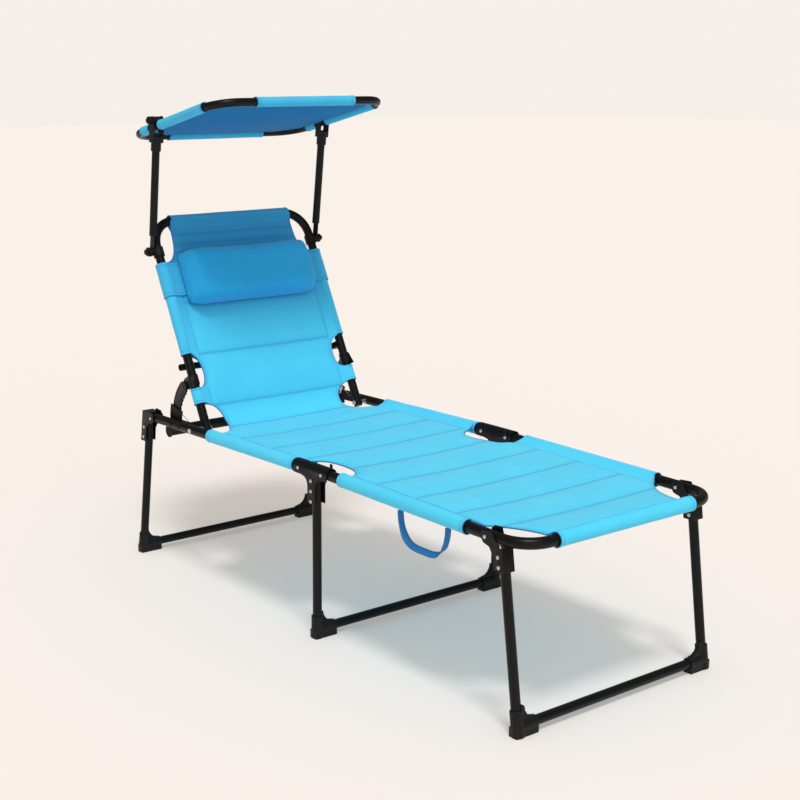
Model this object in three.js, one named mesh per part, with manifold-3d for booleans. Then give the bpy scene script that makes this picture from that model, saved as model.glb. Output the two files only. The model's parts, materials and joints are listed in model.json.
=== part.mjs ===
// A folding sun lounger: three cloth sections on round tubes, three leg frames,
// a ratchet backrest, a head pillow and a canopy on two posts.
// X runs across, +Y from the feet to the head, +Z up; the floor is at zero.
import * as THREE from "three";
import { mergeVertices } from "three/addons/utils/BufferGeometryUtils.js";
import Module from "manifold-3d";

const wasm = await Module();
wasm.setup();

// Lengths are in millimetres, angles in degrees. "share" values are ratios.
const gap = 0.3; // room between pieces that touch
const weld = 0.001;
const far = 1;
const near = -1;

const rail = { x: 288.5, z: 415, radius: 12.5, wall: 1.2, sides: 16, plug: 26, stub: 5.2, endSteps: 5 };
const hinge = { head: 742, back: 543, middle: 46, foot: 611 };
const footBar = { y: 714, bend: 68, bendSteps: 4 };
const boreSides = 8;
const leg = { x: 286.6, radius: 11, wall: 1.2, sides: 12, top: 385, middleTop: 407, bottom: 8 };
const crossbar = { z: 22, radius: 11, endGap: 1.2 };
// The seat and the foot section fall away from the middle legs by a small angle.
const tilt = { seat: 0.8, foot: 0.6 };
const rad = THREE.MathUtils.degToRad;
const fallen = (y, angle) => ({
  pivot: hinge.middle + (y - hinge.middle) * Math.cos(rad(angle)),
  z: rail.z - (y - hinge.middle) * Math.sin(rad(angle)),
});
const headLegs = { ...fallen(hinge.head, tilt.seat), top: 777, toe: 838 };
const footLegs = { ...fallen(hinge.foot, tilt.foot), top: 649, toe: 698 };
const middleLegs = { pivot: hinge.middle, z: rail.z, top: -6, toe: 0 };
const backAxis = fallen(hinge.back, tilt.seat);

const pinSize = { radius: 3, hole: 3.3, head: 5.6, dome: 1.7, sides: 8 };
const headShare = 0.6;

const cheek = { inside: 13.1, sheet: 2.5, web: 0.5 };
const headCheek = { drop: 70, rivets: [30, 58], topWeb: 6 };
const footCheek = { drop: 65, rivets: [34, 55] };
// Outlines of the inward edge of the end brackets: shares of the drop, from the pivot.
const headInnerShares = [[0.47, -1], [0.4, -0.5], [0.2, -0.24], [-0.08, -0.195]];
const headEarShares = [[-0.2, -0.03], [-0.18, 0.17], [0, 0.2186]];
const footInnerShares = [[0.41, -1], [0.38, -0.55], [0.2, -0.28], [-0.08, -0.205]];
const footEarShares = [[-0.2, -0.03], [-0.17, 0.17], [0.3, 0.2], [0.54, -0.1], [0.63, -0.21]];
const earShares = [[-0.14, 0.1], [-0.06, 0.27], [0.3, 0.3], [0.36, 0.1]];
// The roof stands above the rails, so that their ends can turn under it.
const middleCheek = { reach: 66, drop: 78, rise: 2.6, rivets: [22, 47, 72], arcSteps: 8 };
// Right half of the middle bracket: shares of the reach and of the drop.
const middleShares = [
  [0, 0.25], [0.97, 0.25], [1, 0.15], [1, -0.16], [0.9, -0.175], [0.62, -0.175],
  [0.42, -0.21], [0.3, -0.28], [0.24, -0.38], [0.22, -0.5], [0.22, -1], [0, -1],
];
const middleTab = { from: 42, to: 50, top: 21.5 };

const elbow = { radius: 14.4, height: 57, reach: 50, sides: 12 };
const sole = { half: 12.5 };
const gusset = { reach: 30, half: 6, steps: 4 };

const sleeve = { inside: 13.3, outside: 17.4, sides: 12 };
const seatSleeve = { from: 72, to: 458 };
const footSleeve = { from: 108, to: 543 };
const footBarSleeve = 205;
const quilt = { seam: 1.3, above: 3, below: 1.8, steps: 4 };
const panelGap = 0.35;
const bendGap = 1.8;
const seatSeams = [94, 234, 374, 512];
const footSeams = [46, 185, 325, 463, 587];
// Edge of the right half of each cloth length: shares of the rail spacing and length.
const seatEdgeShares = [
  [0.804, 0], [0.806, 0.055], [0.865, 0.108], [0.925, 0.138], [0.95, 0.14], [0.95, 0.838],
  [0.87, 0.842], [0.8, 0.862], [0.746, 0.893], [0.69, 0.94], [0.672, 0.97], [0.68, 1],
];
const footEdgeShares = [
  [0.804, 0], [0.806, 0.063], [0.84, 0.13], [0.875, 0.165], [0.95, 0.178], [0.95, 0.755],
  [0.928, 0.865], [0.87, 0.9], [0.784, 0.926], [0.74, 0.955], [0.715, 0.9805],
];

const back = { angle: 63.4, x: 249, length: 581, radius: 12, wall: 1.2, bend: 70, sides: 12 };
const backSleeve = { inside: 12.4, outside: 15.8, from: 203, to: 460, top: 192, sides: 12 };
const tab = { from: 66, to: 109 };
const backSeams = [57, 201, 345, 487];
const backEdgeShares = [
  [0.815, 0], [0.83, 0.05], [0.86, 0.085], [0.948, 0.112], [0.948, 0.187], [0.89, 0.194],
  [0.862, 0.225], [0.856, 0.265], [0.875, 0.315], [0.948, 0.3485], [0.948, 0.793],
  [0.87, 0.806], [0.82, 0.84], [0.79, 0.88], [0.782, 0.94], [0.785, 0.978],
];
const backBar = { along: 177, behind: 21.4, radius: 9, wall: 1.2, half: 266, sides: 12 };
const backBarBlock = { from: 232, to: 246, half: 8, inset: 3 };

const backPivot = { pin: 4, hole: 4.4, spacer: 6.5, head: 7.5, headHeight: 2.4, rimShare: 0.75 };
const seatTube = { y: 704, z: 382, radius: 14, wall: 1.2, half: 268.1, sides: 12 };
const seatTubePlug = { radius: 11.4, depth: 12 };

const housing = { inside: 268.5, outside: 270.9, guideStart: 265, sides: 8 };
const housingArc = { inner: 92, outer: 151, from: -12, to: 18, steps: 5 };
const guide = { inner: 147, outer: 149.6, from: -5, to: 17, steps: 4 };
const housingStrip = { from: 592, to: 650, half: 10 };
const housingBulge = { radius: 17.5, steps: 14 };
const boss = { radius: 5.5, places: [602, 642] };
const bossPin = { radius: 2.5, hole: 2.8 };
const arm = { from: -10, to: 50, tip: 110, root: 115, outer: 146, inside: 261.4, outside: 266.8 };
const armSteps = { outer: 12, teeth: 9 };
const armHead = { radius: 17, centre: 129, angle: 48 };
const lug = { from: 118, to: 146, radius: 14.6, inside: 255, behind: 40, reachRadius: 148, sides: 48 };
const lugShares = [[-0.2, -0.5], [1, -0.2], [1, 0.55], [0.7, 0.95], [0.1, 0.95], [-0.2, 0.3]];
const lugRivet = { along: 126, behind: 31 };
const pawl = { y: 98, z: 28, hub: 6.5, nose: 109.3, noseAngle: 4, half: 3.2, inside: 265.2, outside: 266.9 };
const pawlPin = { radius: 2.5, hole: 2.8, inside: 265 };
const wire = { radius: 0.8, y: 58, z: 8, sides: 6 };

const pillow = { half: 208, from: 323, to: 491, thick: 54, corner: 46, rim: 23, rimSteps: 4 };
const band = {
  from: 366, to: 460, inside: 16.9, outside: 18.3, flat: 5.8, sheet: 1.4, bend: 28, arcSteps: 10, arc: 130,
};

const canopy = { angle: 12.6, x: 266, depth: 446, back: 150, radius: 10.5, wall: 1.1, bend: 70 };
const canopyJoint = { gap: 0.6, spigot: 30, bendSteps: 3, sides: 12 };
const canopySleeve = { inside: 10.8, outside: 12.6, bar: 152, sides: 12 };
const canopySideSleeves = [[74, 118], [168, 391]];
const canopySheet = 0.9;
const canopyEdgeShares = [
  [0, 0.026], [0.575, 0.026], [0.66, 0.07], [0.77, 0.125], [0.87, 0.155], [0.957, 0.166],
  [0.957, 0.2646], [0.91, 0.272], [0.9, 0.29], [0.9, 0.35], [0.91, 0.368], [0.957, 0.3767],
  [0.957, 0.8767], [0.87, 0.888], [0.77, 0.915], [0.66, 0.945], [0.575, 0.974], [0, 0.974],
];

const post = { angle: 7.8, x: 266, length: 350, radius: 10.5, wall: 1.1, sides: 12 };
const tang = { inside: -1, outside: 3, half: 9, end: 10, start: 44, top: 58, steps: 8 };
const fork = { inside: 11.3, outside: 15.4, half: 11, floor: 41, base: 58, socket: 80, steps: 8 };
const forkSocket = { radius: 13.6, bore: 10.8, stop: 49 };
const saddle = { bolt: 15, half: 10.7, length: 17, bottom: 6.5, top: 25, clear: 10.8, steps: 8 };
const saddleScrew = { radius: 2.2, hole: 2.6, end: 4 };
const clamp = { from: 482, to: 507, radius: 15.4, boss: 11, out: 264.6, bolt: 498, sides: 12 };
const star = { lobes: 6, share: 0.82, steps: 4, hubShare: 0.55 };
const postKnob = { radius: 13, from: 269.5, to: 281, hub: 288, tip: 262 };
const canopyKnob = { radius: 11, from: 282, to: 292, hub: 296, tip: 250.2, nut: 5, nutStart: 245 };

const strap = { from: 321, to: 480, drop: 93, half: 9, thick: 1.8, top: 18, steps: 12 };
const strapBelly = 0.55;

const steel = { color: 0x17181a, roughness: 0.42, metalness: 0.55 };
const darkPlastic = { color: 0x141416, roughness: 0.6, metalness: 0 };
const cloth = { color: 0x35b4e8, roughness: 0.85, metalness: 0 };
const pillowCloth = { color: 0x2390cf, roughness: 0.85, metalness: 0 };
const webbing = { color: 0x1b7fc4, roughness: 0.8, metalness: 0 };
const zinc = { color: 0xc9ccd0, roughness: 0.3, metalness: 0.9 };

const at = (x, y, z) => new THREE.Vector3(x, y, z);

// Volume inside a triangle surface; below zero when its faces point inwards.
function signedVolume(geometry) {
  const place = geometry.attributes.position;
  const corner = (i) => new THREE.Vector3().fromBufferAttribute(place, geometry.index.getX(i));
  let sum = 0;
  for (let i = 0; i < geometry.index.count; i += 3) {
    sum += corner(i).dot(corner(i + 1).cross(corner(i + 2)));
  }
  return sum;
}

// Swaps two corners of every triangle, so that each face turns round.
function turnFaces(geometry) {
  const order = geometry.index.array;
  for (let i = 0; i < order.length; i += 3) {
    [order[i + 1], order[i + 2]] = [order[i + 2], order[i + 1]];
  }
}

// A closed three.js geometry as a solid that can be joined and cut.
function solid(geometry) {
  const bare = new THREE.BufferGeometry();
  bare.setAttribute("position", geometry.attributes.position.clone());
  if (geometry.index) {
    bare.setIndex(geometry.index.clone());
  }
  const closed = mergeVertices(bare, weld);
  if (signedVolume(closed) < 0) {
    turnFaces(closed);
  }
  return new wasm.Manifold(new wasm.Mesh({
    numProp: 3,
    vertProperties: closed.attributes.position.array,
    triVerts: new Uint32Array(closed.index.array),
  }));
}

// The surface of a solid as a three.js geometry.
function surface(body) {
  const mesh = body.getMesh();
  const geometry = new THREE.BufferGeometry();
  geometry.setAttribute("position", new THREE.BufferAttribute(mesh.vertProperties, 3));
  geometry.setIndex(new THREE.BufferAttribute(mesh.triVerts, 1));
  return geometry;
}

const joined = (...bodies) => bodies.flat().reduce((whole, body) => whole.add(body));
const cut = (body, ...tools) => tools.flat().reduce((whole, tool) => whole.subtract(tool), body);

// A path through given points, for shapes swept along straight and bent tubes.
class Route extends THREE.Curve {
  constructor(points) {
    super();
    this.points = points;
  }

  getSpacedPoints() {
    return this.points.map((point) => point.clone());
  }

  getTangentAt(share) {
    const last = this.points.length - 1;
    const here = Math.round(share * last);
    const turn = new THREE.Vector3();
    if (here > 0) {
      turn.add(this.points[here].clone().sub(this.points[here - 1]).normalize());
    }
    if (here < last) {
      turn.add(this.points[here + 1].clone().sub(this.points[here]).normalize());
    }
    return turn.normalize();
  }
}

// Points of a polyline whose inner corners are rounded to a bend radius.
function bentPoints(corners, radius, steps) {
  const points = [corners[0].clone()];
  for (let i = 1; i < corners.length - 1; i += 1) {
    const inward = corners[i - 1].clone().sub(corners[i]).normalize();
    const onward = corners[i + 1].clone().sub(corners[i]).normalize();
    const half = inward.angleTo(onward) / 2;
    const start = corners[i].clone().addScaledVector(inward, radius / Math.tan(half));
    const middle = inward.clone().add(onward).normalize();
    const centre = corners[i].clone().addScaledVector(middle, radius / Math.sin(half));
    const spoke = start.clone().sub(centre);
    const axis = inward.clone().negate().cross(onward).normalize();
    for (let k = 0; k <= steps; k += 1) {
      const turned = spoke.clone().applyAxisAngle(axis, ((Math.PI - 2 * half) * k) / steps);
      points.push(centre.clone().add(turned));
    }
  }
  points.push(corners[corners.length - 1].clone());
  return points;
}

function circle(radius, sides) {
  return Array.from({ length: sides }, (_, i) => {
    const angle = (2 * Math.PI * (i + 1 / 2)) / sides;
    return new THREE.Vector2(radius * Math.cos(angle), radius * Math.sin(angle));
  });
}

function sweep(shape, points) {
  const extrudePath = new Route(points);
  return solid(new THREE.ExtrudeGeometry(shape, { steps: points.length - 1, extrudePath }));
}

// A round bar along a path.
const bar = (points, radius, sides) => sweep(new THREE.Shape(circle(radius, sides)), points);

// A round tube along a path, open at both ends.
function pipe(points, outside, inside, sides) {
  const shape = new THREE.Shape(circle(outside, sides));
  shape.holes.push(new THREE.Path(circle(inside, boreSides)));
  return sweep(shape, points);
}

const line = (a, b) => [a, b];

// A cylinder along x.
const pinAlongX = (from, to, y, z, radius, sides = pinSize.sides) =>
  bar(line(at(from, y, z), at(to, y, z)), radius, sides);

const toVectors = (pairs) => pairs.map(([a, b]) => new THREE.Vector2(a, b));

// A flat plate: its outline lies in y and z, its thickness along x.
function plate(outline, from, to) {
  const shape = new THREE.Shape(toVectors(outline));
  const geometry = new THREE.ExtrudeGeometry(shape, { depth: to - from, bevelEnabled: false });
  const turn = new THREE.Matrix4().makeBasis(at(0, 1, 0), at(0, 0, 1), at(1, 0, 0));
  geometry.applyMatrix4(turn);
  geometry.translate(from, 0, 0);
  return solid(geometry);
}

// A flat slab: its outline lies in x and y, its thickness along z.
function slab(outline, from, to) {
  const shape = new THREE.Shape(toVectors(outline));
  const geometry = new THREE.ExtrudeGeometry(shape, { depth: to - from, bevelEnabled: false });
  geometry.translate(0, 0, from);
  return solid(geometry);
}

// A bar whose outline lies in x and z, with its length along y.
function beam(outline, from, to) {
  const shape = new THREE.Shape(toVectors(outline));
  const geometry = new THREE.ExtrudeGeometry(shape, { depth: to - from, bevelEnabled: false });
  const turn = new THREE.Matrix4().makeBasis(at(1, 0, 0), at(0, 0, 1), at(0, -1, 0));
  geometry.applyMatrix4(turn);
  geometry.translate(0, to, 0);
  return solid(geometry);
}

// A turned piece along x from pairs of length and radius.
function turned(profile, y, z, sides) {
  const points = profile.map(([along, radius]) => new THREE.Vector2(radius, along));
  const geometry = new THREE.LatheGeometry(points, sides);
  geometry.rotateZ(-Math.PI / 2);
  geometry.translate(0, y, z);
  return solid(geometry);
}

// A rivet along x with a low dome at each end.
function rivet(from, to, y, z) {
  const { radius, head, dome, sides } = pinSize;
  return turned([
    [from - dome, 0], [from, head], [from, radius], [to, radius], [to, head], [to + dome, 0],
  ], y, z, sides);
}

const arcPoints = (cy, cz, radius, from, to, steps) =>
  Array.from({ length: steps + 1 }, (_, i) => {
    const angle = rad(from + ((to - from) * i) / steps);
    return [cy + radius * Math.cos(angle), cz + radius * Math.sin(angle)];
  });

const polar = (radius, angle) => [radius * Math.cos(rad(angle)), radius * Math.sin(rad(angle))];

// Flat outline with both ends round, along y at one height.
const roundEnded = (from, to, z, radius, steps) => [
  ...arcPoints(to, z, radius, -90, 90, steps),
  ...arcPoints(from, z, radius, 90, 270, steps),
];

const scaled = (shares, width, height) => shares.map(([a, b]) => [a * width, b * height]);
const mirroredOutline = (half) => [...half, ...half.map(([a, b]) => [-a, b]).reverse()];

// Mirrors a surface in the plane x = 0 or y = 0.
function flipped(geometry, x, y) {
  const copy = geometry.clone();
  copy.applyMatrix4(new THREE.Matrix4().makeScale(x, y, 1));
  if (x * y < 0) {
    turnFaces(copy);
  }
  return copy;
}

function addMesh(parent, name, geometry, finish) {
  geometry.computeVertexNormals();
  const mesh = new THREE.Mesh(geometry, new THREE.MeshStandardMaterial(finish));
  mesh.name = name;
  parent.add(mesh);
  return mesh;
}

// Adds the far piece and its mirror image on the near side.
function addPair(parent, name, body, finish, y = 1) {
  const geometry = surface(body);
  addMesh(parent, `${name}_far`, flipped(geometry, far, y), finish);
  addMesh(parent, `${name}_near`, flipped(geometry, near, y), finish);
}

// Leg frames

const legSlope = (end) => (end.toe - end.top) / (leg.top - crossbar.z);
const legY = (end, z) => end.top + legSlope(end) * (leg.top - z);

function legTube(end, top, rivetHeights) {
  const path = line(at(leg.x, legY(end, leg.bottom), leg.bottom), at(leg.x, legY(end, top), top));
  const holes = rivetHeights.map((z) => pinAlongX(
    leg.x - sleeve.outside, leg.x + sleeve.outside, legY(end, z), z, pinSize.hole));
  return cut(pipe(path, leg.radius, leg.radius - leg.wall, leg.sides), holes);
}

function crossTube(end) {
  const half = leg.x - leg.radius - crossbar.endGap;
  const path = line(at(-half, end.toe, crossbar.z), at(half, end.toe, crossbar.z));
  return pipe(path, crossbar.radius, crossbar.radius - leg.wall, leg.sides);
}

// Concave quarter web in the corner between the leg and the crossbar.
function gussetOutline() {
  const x = leg.x - elbow.radius;
  const z = crossbar.z + elbow.radius;
  const hollow = Array.from({ length: gusset.steps + 1 }, (_, i) => {
    const angle = (Math.PI / 2) * (i / gusset.steps);
    return [
      x - gusset.reach + gusset.reach * Math.sin(angle),
      z + gusset.reach - gusset.reach * Math.cos(angle),
    ];
  });
  return [...hollow, [leg.x, z + gusset.reach], [leg.x, crossbar.z], [x - gusset.reach, crossbar.z]];
}

function elbowFoot(end) {
  const inboard = leg.x - elbow.reach;
  const low = at(leg.x, legY(end, 0), 0);
  const high = at(leg.x, legY(end, elbow.height), elbow.height);
  const collar = bar(line(low, high), elbow.radius, elbow.sides);
  const socket = bar(
    line(at(inboard, end.toe, crossbar.z), at(leg.x, end.toe, crossbar.z)), elbow.radius, elbow.sides);
  const block = slab([
    [inboard, end.toe - sole.half], [leg.x + sole.half, end.toe - sole.half],
    [leg.x + sole.half, end.toe + sole.half], [inboard, end.toe + sole.half],
  ], 0, crossbar.z);
  const web = beam(gussetOutline(), end.toe - gusset.half, end.toe + gusset.half);
  const below = slab([
    [0, end.toe - elbow.reach], [2 * leg.x, end.toe - elbow.reach],
    [2 * leg.x, end.toe + elbow.reach], [0, end.toe + elbow.reach],
  ], -elbow.reach, 0);
  const legBore = bar(line(at(leg.x, legY(end, leg.bottom - gap), leg.bottom - gap),
    at(leg.x, legY(end, 2 * elbow.height), 2 * elbow.height)), leg.radius + gap, elbow.sides);
  const barBore = bar(line(at(0, end.toe, crossbar.z),
    at(leg.x - leg.radius, end.toe, crossbar.z)), crossbar.radius + gap, elbow.sides);
  return cut(joined(collar, socket, block, web), below, legBore, barBore);
}

// The two cheeks of an end bracket, one each side of the rail and the leg.
function twoCheeks(outline) {
  const { inside, sheet } = cheek;
  return joined(
    plate(outline, rail.x + inside, rail.x + inside + sheet),
    plate(outline, rail.x - inside - sheet, rail.x - inside));
}

const fromPivot = (end, shares, drop) =>
  shares.map(([u, v]) => [end.pivot + u * drop, end.z + v * drop]);

// The folded edge that runs down the outward side of a leg.
function legWeb(end, top, bottom) {
  const inner = leg.radius + cheek.web;
  const outer = inner + cheek.sheet;
  return plate([
    [legY(end, top) + inner, top], [legY(end, bottom) + inner, bottom],
    [legY(end, bottom) + outer, bottom], [legY(end, top) + outer, top],
  ], rail.x - cheek.inside - cheek.sheet, rail.x + cheek.inside + cheek.sheet);
}

function bracketRivets(end, rivets) {
  const span = cheek.inside + cheek.sheet;
  const places = [[end.pivot, end.z], ...rivets.map((drop) => [legY(end, end.z - drop), end.z - drop])];
  return places.map(([y, z]) => rivet(rail.x - span, rail.x + span, y, z));
}

function innerEar(end, drop) {
  const { inside, sheet } = cheek;
  return plate(fromPivot(end, earShares, drop), rail.x - inside - sheet, rail.x - inside);
}

function headBracket() {
  const end = headLegs;
  const { drop, topWeb } = headCheek;
  const outer = leg.radius + cheek.web + cheek.sheet;
  const top = end.z + cheek.inside + cheek.sheet;
  const bottom = end.z - drop;
  const outline = [
    ...fromPivot(end, headInnerShares, drop), ...fromPivot(end, headEarShares, drop),
    [legY(end, top) + outer, top], [legY(end, bottom) + outer, bottom],
  ];
  const span = cheek.inside + cheek.sheet;
  const roof = plate([
    [end.pivot + topWeb, top - cheek.sheet], [end.pivot + topWeb, top],
    [legY(end, top) + outer, top], [legY(end, top) + outer, top - cheek.sheet],
  ], rail.x - span, rail.x + span);
  return joined(twoCheeks(outline), innerEar(end, drop), roof, legWeb(end, top, bottom),
    bracketRivets(end, headCheek.rivets));
}

function footBracket() {
  const end = footLegs;
  const { drop } = footCheek;
  const outer = leg.radius + cheek.web + cheek.sheet;
  const bottom = end.z - drop;
  const top = end.z - rail.radius - cheek.sheet;
  const outline = [
    ...fromPivot(end, footInnerShares, drop), ...fromPivot(end, footEarShares, drop),
    [legY(end, top) + outer, top], [legY(end, bottom) + outer, bottom],
  ];
  return joined(twoCheeks(outline), innerEar(end, drop), legWeb(end, top, bottom),
    bracketRivets(end, footCheek.rivets));
}

// An inverted channel with a round top, cut to a T by its side outline.
function middleBracket() {
  const { inside, sheet } = cheek;
  const { reach, drop, rise, arcSteps } = middleCheek;
  const crown = rail.z + rise;
  const channel = beam([
    ...arcPoints(rail.x, crown, inside + sheet, 0, 180, arcSteps),
    [rail.x - inside - sheet, rail.z - drop], [rail.x - inside, rail.z - drop],
    ...arcPoints(rail.x, crown, inside, 180, 0, arcSteps),
    [rail.x + inside, rail.z - drop], [rail.x + inside + sheet, rail.z - drop],
  ], -reach, reach);
  const half = middleShares.map(([u, v]) => [u * reach, rail.z + v * drop]);
  const leaning = mirroredOutline(half.slice(1, -1)).map(([y, z]) =>
    [z < rail.z - rail.radius ? y + legY(middleLegs, z) : y, z]);
  const side = plate(leaning, rail.x - sleeve.outside, rail.x + sleeve.outside);
  const tabPlate = plate([
    [-middleTab.from, rail.z], [-middleTab.from, rail.z + middleTab.top],
    [-middleTab.to, rail.z + middleTab.top], [-middleTab.to, rail.z],
  ], rail.x - inside - sheet, rail.x - inside);
  const span = inside + sheet;
  const pivots = [near, far].map((way) =>
    rivet(rail.x - span, rail.x + span, way * hinge.middle, rail.z));
  const legRivets = middleCheek.rivets.map((down) =>
    rivet(rail.x - span, rail.x + span, legY(middleLegs, rail.z - down), rail.z - down));
  return joined(channel.intersect(side), tabPlate, pivots, legRivets);
}

function addLegFrame(parent, name, end, bracket, top, rivets, way) {
  const heights = rivets.map((down) => end.z - down);
  addPair(parent, `${name}_bracket`, bracket, steel, way);
  addPair(parent, `${name}_leg`, legTube(end, top, heights), steel, way);
  addMesh(parent, `${name}_crossbar`, flipped(surface(crossTube(end)), far, way), steel);
  addPair(parent, `${name}_foot`, elbowFoot(end), darkPlastic, way);
}

// Seat frame

const crossHole = (y, z, radius) =>
  pinAlongX(rail.x - 2 * rail.radius, rail.x + 2 * rail.radius, y, z, radius);

function seatRail() {
  const ease = rail.radius + gap / 3;
  const path = line(at(rail.x, hinge.middle - rail.stub, rail.z),
    at(rail.x, hinge.head + rail.radius, rail.z));
  const bore = line(at(rail.x, hinge.middle + rail.plug, rail.z),
    at(rail.x, hinge.head - rail.plug, rail.z));
  const ends = plate(roundEnded(hinge.middle, hinge.head, rail.z, ease, rail.endSteps),
    rail.x - 2 * rail.radius, rail.x + 2 * rail.radius);
  const holes = [
    crossHole(hinge.middle, rail.z, pinSize.hole), crossHole(hinge.head, rail.z, pinSize.hole),
    crossHole(hinge.back, rail.z, backPivot.hole),
    ...boss.places.map((y) => crossHole(y, rail.z, bossPin.hole)),
  ];
  return cut(bar(path, rail.radius, rail.sides).intersect(ends),
    bar(bore, rail.radius - rail.wall, boreSides), holes);
}

function seatCrossTube() {
  const path = line(at(-seatTube.half, seatTube.y, seatTube.z), at(seatTube.half, seatTube.y, seatTube.z));
  return pipe(path, seatTube.radius, seatTube.radius - seatTube.wall, seatTube.sides);
}

// Shoulder bolt from the backrest tube through the rail.
function backPivotBolt() {
  const { pin, spacer, head, headHeight, rimShare } = backPivot;
  const inner = back.x - back.radius - gap;
  const shoulder = back.x + back.radius + gap;
  const outer = rail.x + rail.radius + gap;
  const end = outer + headHeight;
  const lug = pinAlongX(shoulder, rail.x, hinge.back, rail.z, spacer, housing.sides);
  const room = bar(line(at(rail.x, hinge.back - rail.plug, rail.z),
    at(rail.x, hinge.back + rail.plug, rail.z)), rail.radius + gap, rail.sides);
  const bolt = turned([
    [inner - headHeight, 0], [inner - headHeight, head * rimShare], [inner, head], [inner, pin],
    [outer, pin], [outer, head], [end, head * rimShare], [end, 0],
  ], hinge.back, rail.z, housing.sides);
  return joined(cut(lug, room), bolt);
}

// Points round the backrest axis, as distance and angle from it.
const ring = (inner, outer, from, to, steps) => [
  ...arcPoints(hinge.back, rail.z, outer, from, to, steps),
  ...arcPoints(hinge.back, rail.z, inner, to, from, steps),
];

function ratchetHousing() {
  const { inside, outside, guideStart } = housing;
  const sector = plate(ring(housingArc.inner, housingArc.outer, housingArc.from, housingArc.to,
    housingArc.steps), inside, outside);
  const strip = plate(roundEnded(housingStrip.from, housingStrip.to, rail.z, housingStrip.half,
    housingBulge.steps / 2), inside, outside);
  const bulge = plate(arcPoints(seatTube.y, seatTube.z, housingBulge.radius,
    360 / housingBulge.steps, 360, housingBulge.steps - 1), inside, outside);
  const wall = plate(ring(guide.inner, guide.outer, guide.from, guide.to, guide.steps), guideStart, outside);
  const plug = pinAlongX(inside - seatTubePlug.depth, outside, seatTube.y, seatTube.z,
    seatTubePlug.radius, housing.sides);
  const pawlAxle = pinAlongX(pawlPin.inside, outside, hinge.back + pawl.y, rail.z + pawl.z, pawlPin.radius);
  const clear = bar(line(at(rail.x, hinge.back, rail.z), at(rail.x, hinge.head, rail.z)),
    rail.radius + gap, rail.sides);
  const bosses = boss.places.map((y) => pinAlongX(outside - gap, rail.x, y, rail.z, boss.radius));
  const pins = boss.places.map((y) => turned([
    [outside - gap, 0], [outside - gap, bossPin.radius], [rail.x + rail.radius + gap, bossPin.radius],
    [rail.x + rail.radius + gap, pinSize.head],
    [rail.x + rail.radius + gap + pinSize.dome, pinSize.head * headShare],
    [rail.x + rail.radius + gap + pinSize.dome, 0],
  ], y, rail.z, pinSize.sides));
  return joined(cut(joined(sector, strip, bulge, wall, plug, pawlAxle, bosses), clear), pins);
}

function ratchetPawl() {
  const y = hinge.back + pawl.y;
  const z = rail.z + pawl.z;
  const noseY = hinge.back + pawl.nose * Math.cos(rad(pawl.noseAngle));
  const noseZ = rail.z + pawl.nose * Math.sin(rad(pawl.noseAngle));
  const hub = pinAlongX(pawl.inside, pawl.outside, y, z, pawl.hub, housing.sides);
  const lever = plate([
    [y - pawl.hub + gap, z], [noseY - 2 * pawl.half, noseZ], [noseY, noseZ], [y + pawl.hub - gap, z],
  ], pawl.inside, pawl.outside);
  const middle = (pawl.inside + pawl.outside) / 2;
  const spring = bar(line(at(middle, y - pawl.hub / 2, z - pawl.hub / 2),
    at(middle, hinge.back + wire.y, rail.z + wire.z)), wire.radius, wire.sides);
  const hole = pinAlongX(pawlPin.inside - gap, pawl.outside + gap, y, z, pawlPin.hole);
  return cut(joined(hub, lever, spring), hole);
}

// Cloth

// A quilted length of cloth: thin at each seam, full between them.
function quilted(outline, seams, start, end, z, half) {
  const stops = [start, ...seams, end].sort((a, b) => a - b);
  const upper = [];
  const lower = [];
  for (let i = 0; i < stops.length - 1; i += 1) {
    for (let k = 0; k < quilt.steps; k += 1) {
      const share = k / quilt.steps;
      const swell = Math.sin(Math.PI * share);
      const y = stops[i] + (stops[i + 1] - stops[i]) * share;
      upper.push([y, z + quilt.seam + quilt.above * swell]);
      lower.push([y, z - quilt.seam - quilt.below * swell]);
    }
  }
  const last = stops[stops.length - 1];
  upper.push([last, z + quilt.seam]);
  lower.push([last, z - quilt.seam]);
  const filling = plate([...lower, ...upper.reverse()], -half, half);
  return filling.intersect(slab(outline, z - sleeve.outside, z + sleeve.outside));
}

const wholeOutline = (edge) => [...edge, ...edge.map(([x, y]) => [-x, y]).reverse()];

// A flat region of the cloth plane between two widths and two lengths, thick enough for a sleeve.
const region = (x0, x1, y0, y1, z) =>
  slab([[x0, y0], [x1, y0], [x1, y1], [x0, y1]], z - sleeve.outside, z + sleeve.outside);

// Tubes of cloth round a bent frame tube, only within the given regions.
const dressed = (points, size, regions) =>
  bar(points, size.outside, size.sides).intersect(joined(regions));

function seatPanel() {
  const length = hinge.back - bendGap - panelGap;
  const edge = seatEdgeShares.map(([u, v]) => [u * rail.x, panelGap + v * length]);
  const sheet = quilted(wholeOutline(edge), seatSeams, panelGap, panelGap + length, rail.z, rail.x);
  const along = (side, from, to, radius) =>
    bar(line(at(side * rail.x, from, rail.z), at(side * rail.x, to, rail.z)), radius, sleeve.sides);
  const tubes = [near, far].map((side) => along(side, seatSleeve.from, seatSleeve.to, sleeve.outside));
  const bores = [near, far].map((side) => along(side, 0, hinge.back, sleeve.inside));
  return cut(joined(sheet, tubes), bores);
}

const footPath = (start) => bentPoints([
  at(-rail.x, start, rail.z), at(-rail.x, -footBar.y, rail.z),
  at(rail.x, -footBar.y, rail.z), at(rail.x, start, rail.z),
], footBar.bend, footBar.bendSteps);

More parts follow.
